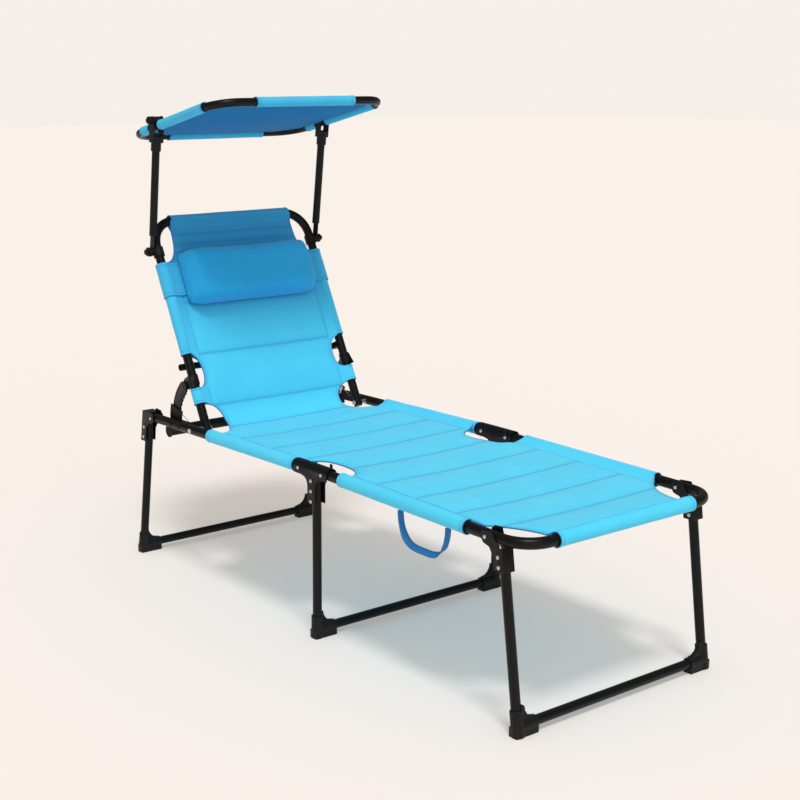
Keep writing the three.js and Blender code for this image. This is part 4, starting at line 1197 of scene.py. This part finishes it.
@dataclass
class HardPieces:
    """The remaining hard pieces, kept from the CAD with eased edges.

    Each entry has the CAD node, the new name, the finish, the eased width in mm and the body.
    """

    pairs: tuple[tuple[str, str, Finish, float, str], ...] = (
        ("back_pivot", "back_pivot_eased", Finish.ZINC, 0.4, "seat"),
        ("ratchet_housing", "ratchet_housing_eased", Finish.PLASTIC, 0.6, "seat"),
        ("ratchet_arm", "ratchet_arm_eased", Finish.STEEL, 0.6, "back"),
        ("post_clamp", "post_clamp_eased", Finish.PLASTIC, 1.0, "back"),
        ("post", "post_eased", Finish.STEEL, 0.5, "posts"),
        ("post_fork", "post_fork_eased", Finish.PLASTIC, 0.9, "posts"),
        ("ratchet_pawl", "pawl_eased", Finish.ZINC, 0.3, "pawl_{side}"),
        ("canopy_saddle", "saddle_eased", Finish.PLASTIC, 0.9, "canopy"),
        ("post_knob", "post_knob_eased", Finish.PLASTIC, 1.0, "post_knob_screw_{side}"),
        ("canopy_knob", "canopy_knob_eased", Finish.PLASTIC, 0.9, "canopy_knob_screw_{side}"),
    )
    single: tuple[tuple[str, str, Finish, float, str], ...] = (
        ("seat_cross_tube", "seat_cross_bar", Finish.STEEL, 0.5, "seat"),
        ("back_cross_bar", "back_bar", Finish.STEEL, 0.5, "back"),
    )

    def build(self) -> None:
        """Copies each hard CAD node with its edges eased."""
        for side in SIDES:
            for node, name, finish, edge, body in self.pairs:
                own = f"{name}_{side}"
                cad_copy(f"{node}_{side}", own, finish, edge * MM, body.format(side=side))
        for node, name, finish, edge, body in self.single:
            cad_copy(node, name, finish, edge * MM, body)


# ---------------------------------------------------------------- canopy, pillow and strap


@dataclass
class Canopy:
    """The canopy cloth: one sagging sheet with sleeves on all four bars."""

    tubes: TubeFrames
    sag: float = 15 * MM
    sleeve: float = 12.6 * MM
    half_bar: float = 152 * MM
    rise: float = 7.5 * MM
    rise_share: float = 0.14
    folds: float = 1.1 * MM
    fold_size: float = 80 * MM
    hem: float = 6 * MM
    ripple: float = 0.3 * MM
    side_sleeves: tuple[tuple[float, float], ...] = ((74, 118), (168, 391))
    edge: tuple[tuple[float, float], ...] = (
        (0.012, 0.575), (0.026, 0.575), (0.07, 0.66), (0.125, 0.77), (0.155, 0.87), (0.166, 0.957),
        (0.2646, 0.957), (0.272, 0.91), (0.29, 0.9), (0.35, 0.9), (0.368, 0.91), (0.3767, 0.957),
        (0.8767, 0.957), (0.888, 0.87), (0.915, 0.77), (0.945, 0.66), (0.974, 0.575), (0.988, 0.575),
    )

    def surface(self, x: float, v: float) -> Vector:
        """Point of the sheet at a place across and a share of the depth from the back bar."""
        t = self.tubes
        hang = (1 - (x / t.canopy_x) ** 2) * (1 - (2 * v - 1) ** 2)
        end = max(0.0, abs(2 * v - 1) - (1 - self.rise_share)) / self.rise_share
        side = ramp(abs(x), t.canopy_x - 26 * MM, t.canopy_x - 4 * MM)
        rise = self.rise * max(side, end * end)
        loose = self.folds * wavy(Vector((x, v * t.canopy_depth, 5.5)), self.fold_size)
        return t.roof().at(x, t.canopy_back - v * t.canopy_depth, rise - self.sag * hang + loose * hang)

    def build(self) -> None:
        """Makes the sheet, its binding and its sleeves."""
        t = self.tubes
        outline = smooth_outline([(v, u * t.canopy_x) for v, u in self.edge], 2)
        first, last = self.edge[0][0], self.edge[-1][0]
        shape = bmesh.new()
        bmesh.ops.create_grid(shape, x_segments=72, y_segments=110, size=1.0)
        across = shape.verts.layers.float.new("across")
        along = shape.verts.layers.float.new("along")
        for vert in shape.verts:
            v = first + (last - first) * (vert.co.y + 1) / 2
            vert[across], vert[along] = vert.co.x * width_at(outline, v), v
            vert.co = self.surface(vert[across], v)
        shape.normal_update()
        if sum(face.normal.z for face in shape.faces) < 0:
            bmesh.ops.reverse_faces(shape, faces=shape.faces)
        write_uv(shape, lambda vert: (vert[across], vert[along] * t.canopy_depth))
        sheet = as_object("canopy_sheet", shape, Finish.CANOPY)
        modify(
            sheet, "cloth_thickness", "SOLIDIFY", thickness=1.0 * MM, offset=1.0,
            material_offset=1, material_offset_rim=1,
        )
        # The sheet's second face takes the painted-shade underside material.
        sheet.data.materials.append(Finish.CANOPY_INSIDE.material())
        placed(sheet, "canopy", "canopy_cloth")
        tapes = []
        for way in SIDES.values():
            points = [
                self.surface(way * (width_at(outline, v) - 0.3 * MM), v)
                for v in (first + (last - first) * k / 220 for k in range(221))
            ]
            tapes.append(tube_shape(points, 1.3 * MM))
            write_uv(tapes[-1], lambda vert: (vert.co.x, vert.co.y))
        placed(as_object("canopy_binding", merged(tapes), Finish.BINDING), "canopy")
        rear, front = t.canopy_back, t.canopy_back - t.canopy_depth
        for name, bar in (("back", rear), ("front", front)):
            self.cover(f"{name}_sleeve", (-self.half_bar, bar), (self.half_bar, bar))
        for side, way in SIDES.items():
            x = way * t.canopy_x
            for number, (a, b) in enumerate(self.side_sleeves, 1):
                name = f"side_sleeve_{number}_{side}"
                self.cover(name, (x, rear - a * MM), (x, rear - b * MM), hem=self.hem)

    def cover(self, name: str, a: tuple[float, float], b: tuple[float, float], **sizes: float) -> None:
        """One sleeve of the canopy between two places of its local frame."""
        sizes |= {"radius": self.sleeve, "ripple": self.ripple}
        roof = self.tubes.roof()
        Sleeve(f"canopy_{name}", "canopy", roof, a, b, finish=Finish.CANOPY, **sizes).build()


@dataclass
class HeadPillow:
    """The padded head pillow and its band round the backrest."""

    half: float = 213 * MM
    low: float = 327 * MM
    high: float = 494 * MM
    floor: float = 8.5 * MM
    thick: float = 52 * MM
    band_low: float = 366 * MM
    band_high: float = 460 * MM
    band_radius: float = 17.4 * MM
    band_flat: float = 6.6 * MM
    band_run: float = 26 * MM
    band_rows: int = 47
    # Share of the canopy's painted shade laid over the band.
    tone: float = 0.45
    frames: int = 20
    puff: float = 6 * MM
    pressure: float = 4.0
    voxel: float = 6 * MM

    def body_shape(self) -> Shape:
        """A full rounded block that is flat towards the backrest."""
        shape = bmesh.new()
        bmesh.ops.create_cube(shape, size=2.0)
        bmesh.ops.subdivide_edges(shape, edges=shape.edges, cuts=14, use_grid_fill=True)
        for vert in shape.verts:
            u, v, w = vert.co
            edge = (1 - abs(u) ** 12) ** 0.5 * (1 - abs(v) ** 6) ** 0.5
            along = (self.low + self.high) / 2 + v * (1 - 0.1 * abs(u) ** 12) * (self.high - self.low) / 2
            across = u * self.half * (1 - 0.035 * abs(v) ** 5)
            height = self.floor + self.thick * (0.08 + 0.92 * edge) * (w + 1) / 2
            vert.co = BACK.at(across, along, height + 1.5 * MM * edge)
        outwards(shape)
        return shape

    def inflate(self, piece: Piece) -> None:
        """Fills the pillow by a short cloth simulation with pressure."""
        scene = bpy.context.scene
        modify(piece, "even_faces", "REMESH", mode="VOXEL", voxel_size=self.voxel)
        self.apply(piece)
        start = [vert.co.copy() for vert in piece.data.vertices]
        cloth = piece.modifiers.new("filling", "CLOTH")
        cloth.settings.use_pressure = True
        cloth.settings.uniform_pressure_force = self.pressure
        cloth.settings.effector_weights.gravity = 0.0
        cloth.settings.quality = 4
        scene.frame_start, scene.frame_end = 1, self.frames
        for number in range(1, self.frames + 1):
            scene.frame_set(number)
        evaluated = piece.evaluated_get(bpy.context.evaluated_depsgraph_get())
        grown = [vert.co.copy() for vert in evaluated.data.vertices]
        piece.modifiers.remove(cloth)
        scene.frame_set(1)
        off = Vector((0, -math.sin(BACK.angle), math.cos(BACK.angle)))
        for vert, before, after in zip(piece.data.vertices, start, grown):
            move = after - before
            if move.length > self.puff:
                move = move.normalized() * self.puff
            place = before + move
            height = (place - BACK.origin).dot(off)
            if height < self.floor:
                place += off * (self.floor - height)
            vert.co = place

    @staticmethod
    def apply(piece: Piece) -> None:
        """Makes the modifiers of a piece part of its mesh."""
        evaluated = piece.evaluated_get(bpy.context.evaluated_depsgraph_get())
        mesh = bpy.data.meshes.new_from_object(evaluated)
        piece.modifiers.clear()
        piece.data = mesh

    def build(self) -> None:
        """Makes the pillow and its band."""
        pillow = as_object("head_pillow", self.body_shape(), Finish.PILLOW, 180.0)
        self.inflate(pillow)
        modify(pillow, "soft_surface", "SUBSURF", levels=1, render_levels=1)
        self.apply(pillow)
        shape = bmesh.new()
        shape.from_mesh(pillow.data)
        write_uv(shape, lambda vert: (vert.co.x, (vert.co - BACK.origin).dot(SLIDE)))
        shape.to_mesh(pillow.data)
        shape.free()
        pillow.data.shade_smooth()
        placed(pillow, "pillow_set", "pillow")
        self.band()

    def band(self) -> None:
        """The flat band that runs from the pillow round both side tubes and behind."""
        radius, flat, run = self.band_radius, self.band_flat, self.band_run
        arc = [math.radians(a) for a in range(130, -131, -13)]
        half = [(S.back_x - run, flat)]
        half += [(S.back_x + radius * math.cos(a), radius * math.sin(a)) for a in arc]
        half += [(S.back_x - run, -flat)]
        inner = [(S.back_x * k / 8, -flat) for k in range(6, 0, -1)]
        right = [*half, *inner]
        loop = [*right, (0.0, -flat), *((-x, z) for x, z in reversed(right))]
        loop += [(-S.back_x * k / 8, flat) for k in range(6, 0, -1)] + [(0.0, flat)]
        loop += [(S.back_x * k / 8, flat) for k in range(1, 7)]
        shape = bmesh.new()
        verts = [shape.verts.new(BACK.at(x, self.band_low, z)) for x, z in loop]
        edges = [shape.edges.new((a, b)) for a, b in zip(verts, [*verts[1:], verts[0]])]
        step = SLIDE * ((self.band_high - self.band_low) / self.band_rows)
        for _ in range(self.band_rows):
            made = bmesh.ops.extrude_edge_only(shape, edges=edges)["geom"]
            fresh = [item for item in made if isinstance(item, bmesh.types.BMVert)]
            bmesh.ops.translate(shape, verts=fresh, vec=step)
            edges = [item for item in made if isinstance(item, bmesh.types.BMEdge)
                     and all(vert in fresh for vert in item.verts)]
        outwards(shape)
        dark = shape.verts.layers.float.new(SEWN_LINES_AND_SHADE)
        for vert in shape.verts:
            off = Vector((vert.co.x, 0, 0))
            place = (vert.co - BACK.origin).dot(SLIDE)
            near = min(place - self.band_low, self.band_high - place)
            line = max(0.6 * (1 - ramp(near, 0.0, 2 * MM)), 0.5 * bell(near - 8 * MM, 1.6 * MM))
            # The sewn rim and hem lines, with the band's painted shade laid over them.
            vert[dark] = 1 - (1 - line) * (1 - self.tone)
            vert.co += vert.normal * (0.5 * MM * wavy(vert.co + off, 30 * MM))
        write_uv(shape, lambda vert: (vert.co.x, (vert.co - BACK.origin).dot(SLIDE)))
        band = as_object("pillow_band_cloth", shape, Finish.CLOTH)
        modify(band, "cloth_thickness", "SOLIDIFY", thickness=1.3 * MM, offset=0.0)
        placed(band, "pillow_set", "pillow_band")


@dataclass
class CarryStrap:
    """The webbing handle that hangs from the near rail, turned over once on its way."""

    first: float = 321 * MM
    last: float = 480 * MM
    top: float = 17.2 * MM
    drop: float = 92 * MM
    half: float = 8.0 * MM
    belly: float = 0.55
    twist: float = 48.0
    twisting: tuple[float, float] = (0.16, 0.36)
    turning_back: tuple[float, float] = (0.55, 0.8)
    length: float = 0.34
    rows: int = 90

    def line(self, share: float) -> Vector:
        """Centre line of the loop by share of its length."""
        middle = -(self.first + self.last) / 2 + S.hinge_half
        across = math.cos(math.pi * share)
        reach = (self.last - self.first) / 2 * math.copysign(abs(across) ** self.belly, across)
        hang = self.top + (self.drop - self.top) * math.sin(math.pi * share)
        return FOOT.at(-S.rail_x, middle + reach, -hang)

    def build(self) -> None:
        """Makes the ribbon and lets it ride on its own body."""
        shape = bmesh.new()
        bmesh.ops.create_grid(shape, x_segments=4, y_segments=self.rows, size=1.0)
        along = shape.verts.layers.float.new("along")
        for vert in shape.verts:
            share = (vert.co.y + 1) / 2
            a, b = self.line(max(share - 0.01, 0.0)), self.line(min(share + 0.01, 1.0))
            way = (b - a).normalized()
            turned = ramp(share, *self.twisting) * (1 - ramp(share, *self.turning_back))
            across = Matrix.Rotation(math.radians(self.twist) * turned, 3, way) @ Vector((1, 0, 0))
            vert[along] = share * self.length
            vert.co = self.line(share) + across * (vert.co.x * self.half)
        write_uv(shape, lambda vert: (0.0, vert[along]))
        strap = as_object("strap_ribbon", shape, Finish.WEBBING)
        modify(strap, "webbing_thickness", "SOLIDIFY", thickness=1.6 * MM, offset=0.0)
        placed(strap, "strap", "carry_strap")


# ---------------------------------------------------------------- stage


@dataclass
class Studio:
    """Pale floor, soft light and the camera at the photograph's angle."""

    eye: tuple[float, float, float] = (-2.2387, -2.8183, 1.3319)
    turn: float = -38.77
    down: float = 12.55
    focal_px: float = 1490.0
    frame_px: float = 800.0
    backdrop: str = "F6EFE9"
    floor_size: float = 30.0
    key_strength: float = 1.58
    key_soft: float = 12.0
    key_way: tuple[float, float, float] = (0.21, 0.354, -1.0)
    fill_strength: float = 0.56
    fill_soft: float = 70.0
    fill_way: tuple[float, float, float] = (0.35, 0.85, -0.4)
    sky_strength: float = 0.64
    gloss_share: float = 0.3
    sky_tone: str = "FFF4EA"
    floor_tone: str = "EAE6E3"
    floor_glow: float = 0.24

    def build(self) -> None:
        """Sets up the stage."""
        scene = bpy.context.scene
        scene.view_settings.view_transform = "Standard"
        camera = linked("camera", bpy.data.cameras.new("camera"))
        camera.location = self.eye
        camera.rotation_euler = (math.radians(90 - self.down), 0, math.radians(self.turn))
        camera.data.sensor_width = 36.0
        camera.data.lens = 36.0 * self.focal_px / self.frame_px
        scene.camera = camera
        self.floor()
        self.light()

    def floor(self) -> None:
        """A large pale floor that takes the soft shadow."""
        shape = bmesh.new()
        bmesh.ops.create_grid(shape, x_segments=1, y_segments=1, size=self.floor_size)
        floor = linked("floor", as_mesh("floor", shape))
        colour = (*(c * (1 - self.floor_glow) for c in linear(self.floor_tone)[:3]), 1.0)
        floor.data.materials.append(Surface("pale_floor").done({
            "Base Color": colour,
            "Roughness": 0.9,
            "Specular IOR Level": 0.0,
            "Emission Color": linear(self.backdrop),
            "Emission Strength": self.floor_glow,
        }))

    def lamp(self, name: str, strength: float, soft: float, way: Vector) -> None:
        """One distant lamp, soft degrees wide, whose light travels along the way."""
        lamp = bpy.data.lights.new(name, "SUN")
        lamp.energy = strength
        lamp.angle = math.radians(soft)
        linked(name, lamp).rotation_euler = way.to_track_quat("-Z", "Y").to_euler()

    def light(self) -> None:
        """A soft key lamp from the foot end above, a wide fill from the front, and an even sky."""
        self.lamp("key", self.key_strength, self.key_soft, Vector(self.key_way))
        self.lamp("fill", self.fill_strength, self.fill_soft, Vector(self.fill_way))
        world = bpy.data.worlds.new("sky")
        bpy.context.scene.world = world
        nodes = Nodes(world)
        path = nodes.add("LightPath")
        strengths = {"To Min": self.sky_strength, "To Max": self.sky_strength * self.gloss_share}
        dim = nodes.add("MapRange", {"Value": (path, "Is Glossy Ray"), **strengths})
        even = nodes.add("Background", {"Color": linear(self.sky_tone), "Strength": (dim, "Result")})
        shown = nodes.add("Background", {"Color": linear(self.backdrop), "Strength": 1.0})
        ends = {"Fac": (path, "Is Camera Ray"), 1: (even, "Background"), 2: (shown, "Background")}
        nodes.add("OutputWorld", {"Surface": (nodes.add("MixShader", ends), "Shader")})


def main() -> None:
    """Builds the lounger and its stage."""
    tubes = TubeFrames()
    tubes.build()
    for legs in (
        LegFrame("head", "head_legs", HEAD_HINGE, (30 * MM, 58 * MM)),
        LegFrame("middle", "middle_legs", MIDDLE_HINGE, (22 * MM, 47 * MM, 72 * MM), LOW_HINGE),
        LegFrame("foot", "foot_legs", FOOT_HINGE, (34 * MM, 55 * MM)),
    ):
        legs.build()
    HardPieces().build()
    QuiltedCloth().build()
    Canopy(tubes).build()
    HeadPillow().build()
    CarryStrap().build()
    Studio().build()


if __name__ == "__main__":
    main()
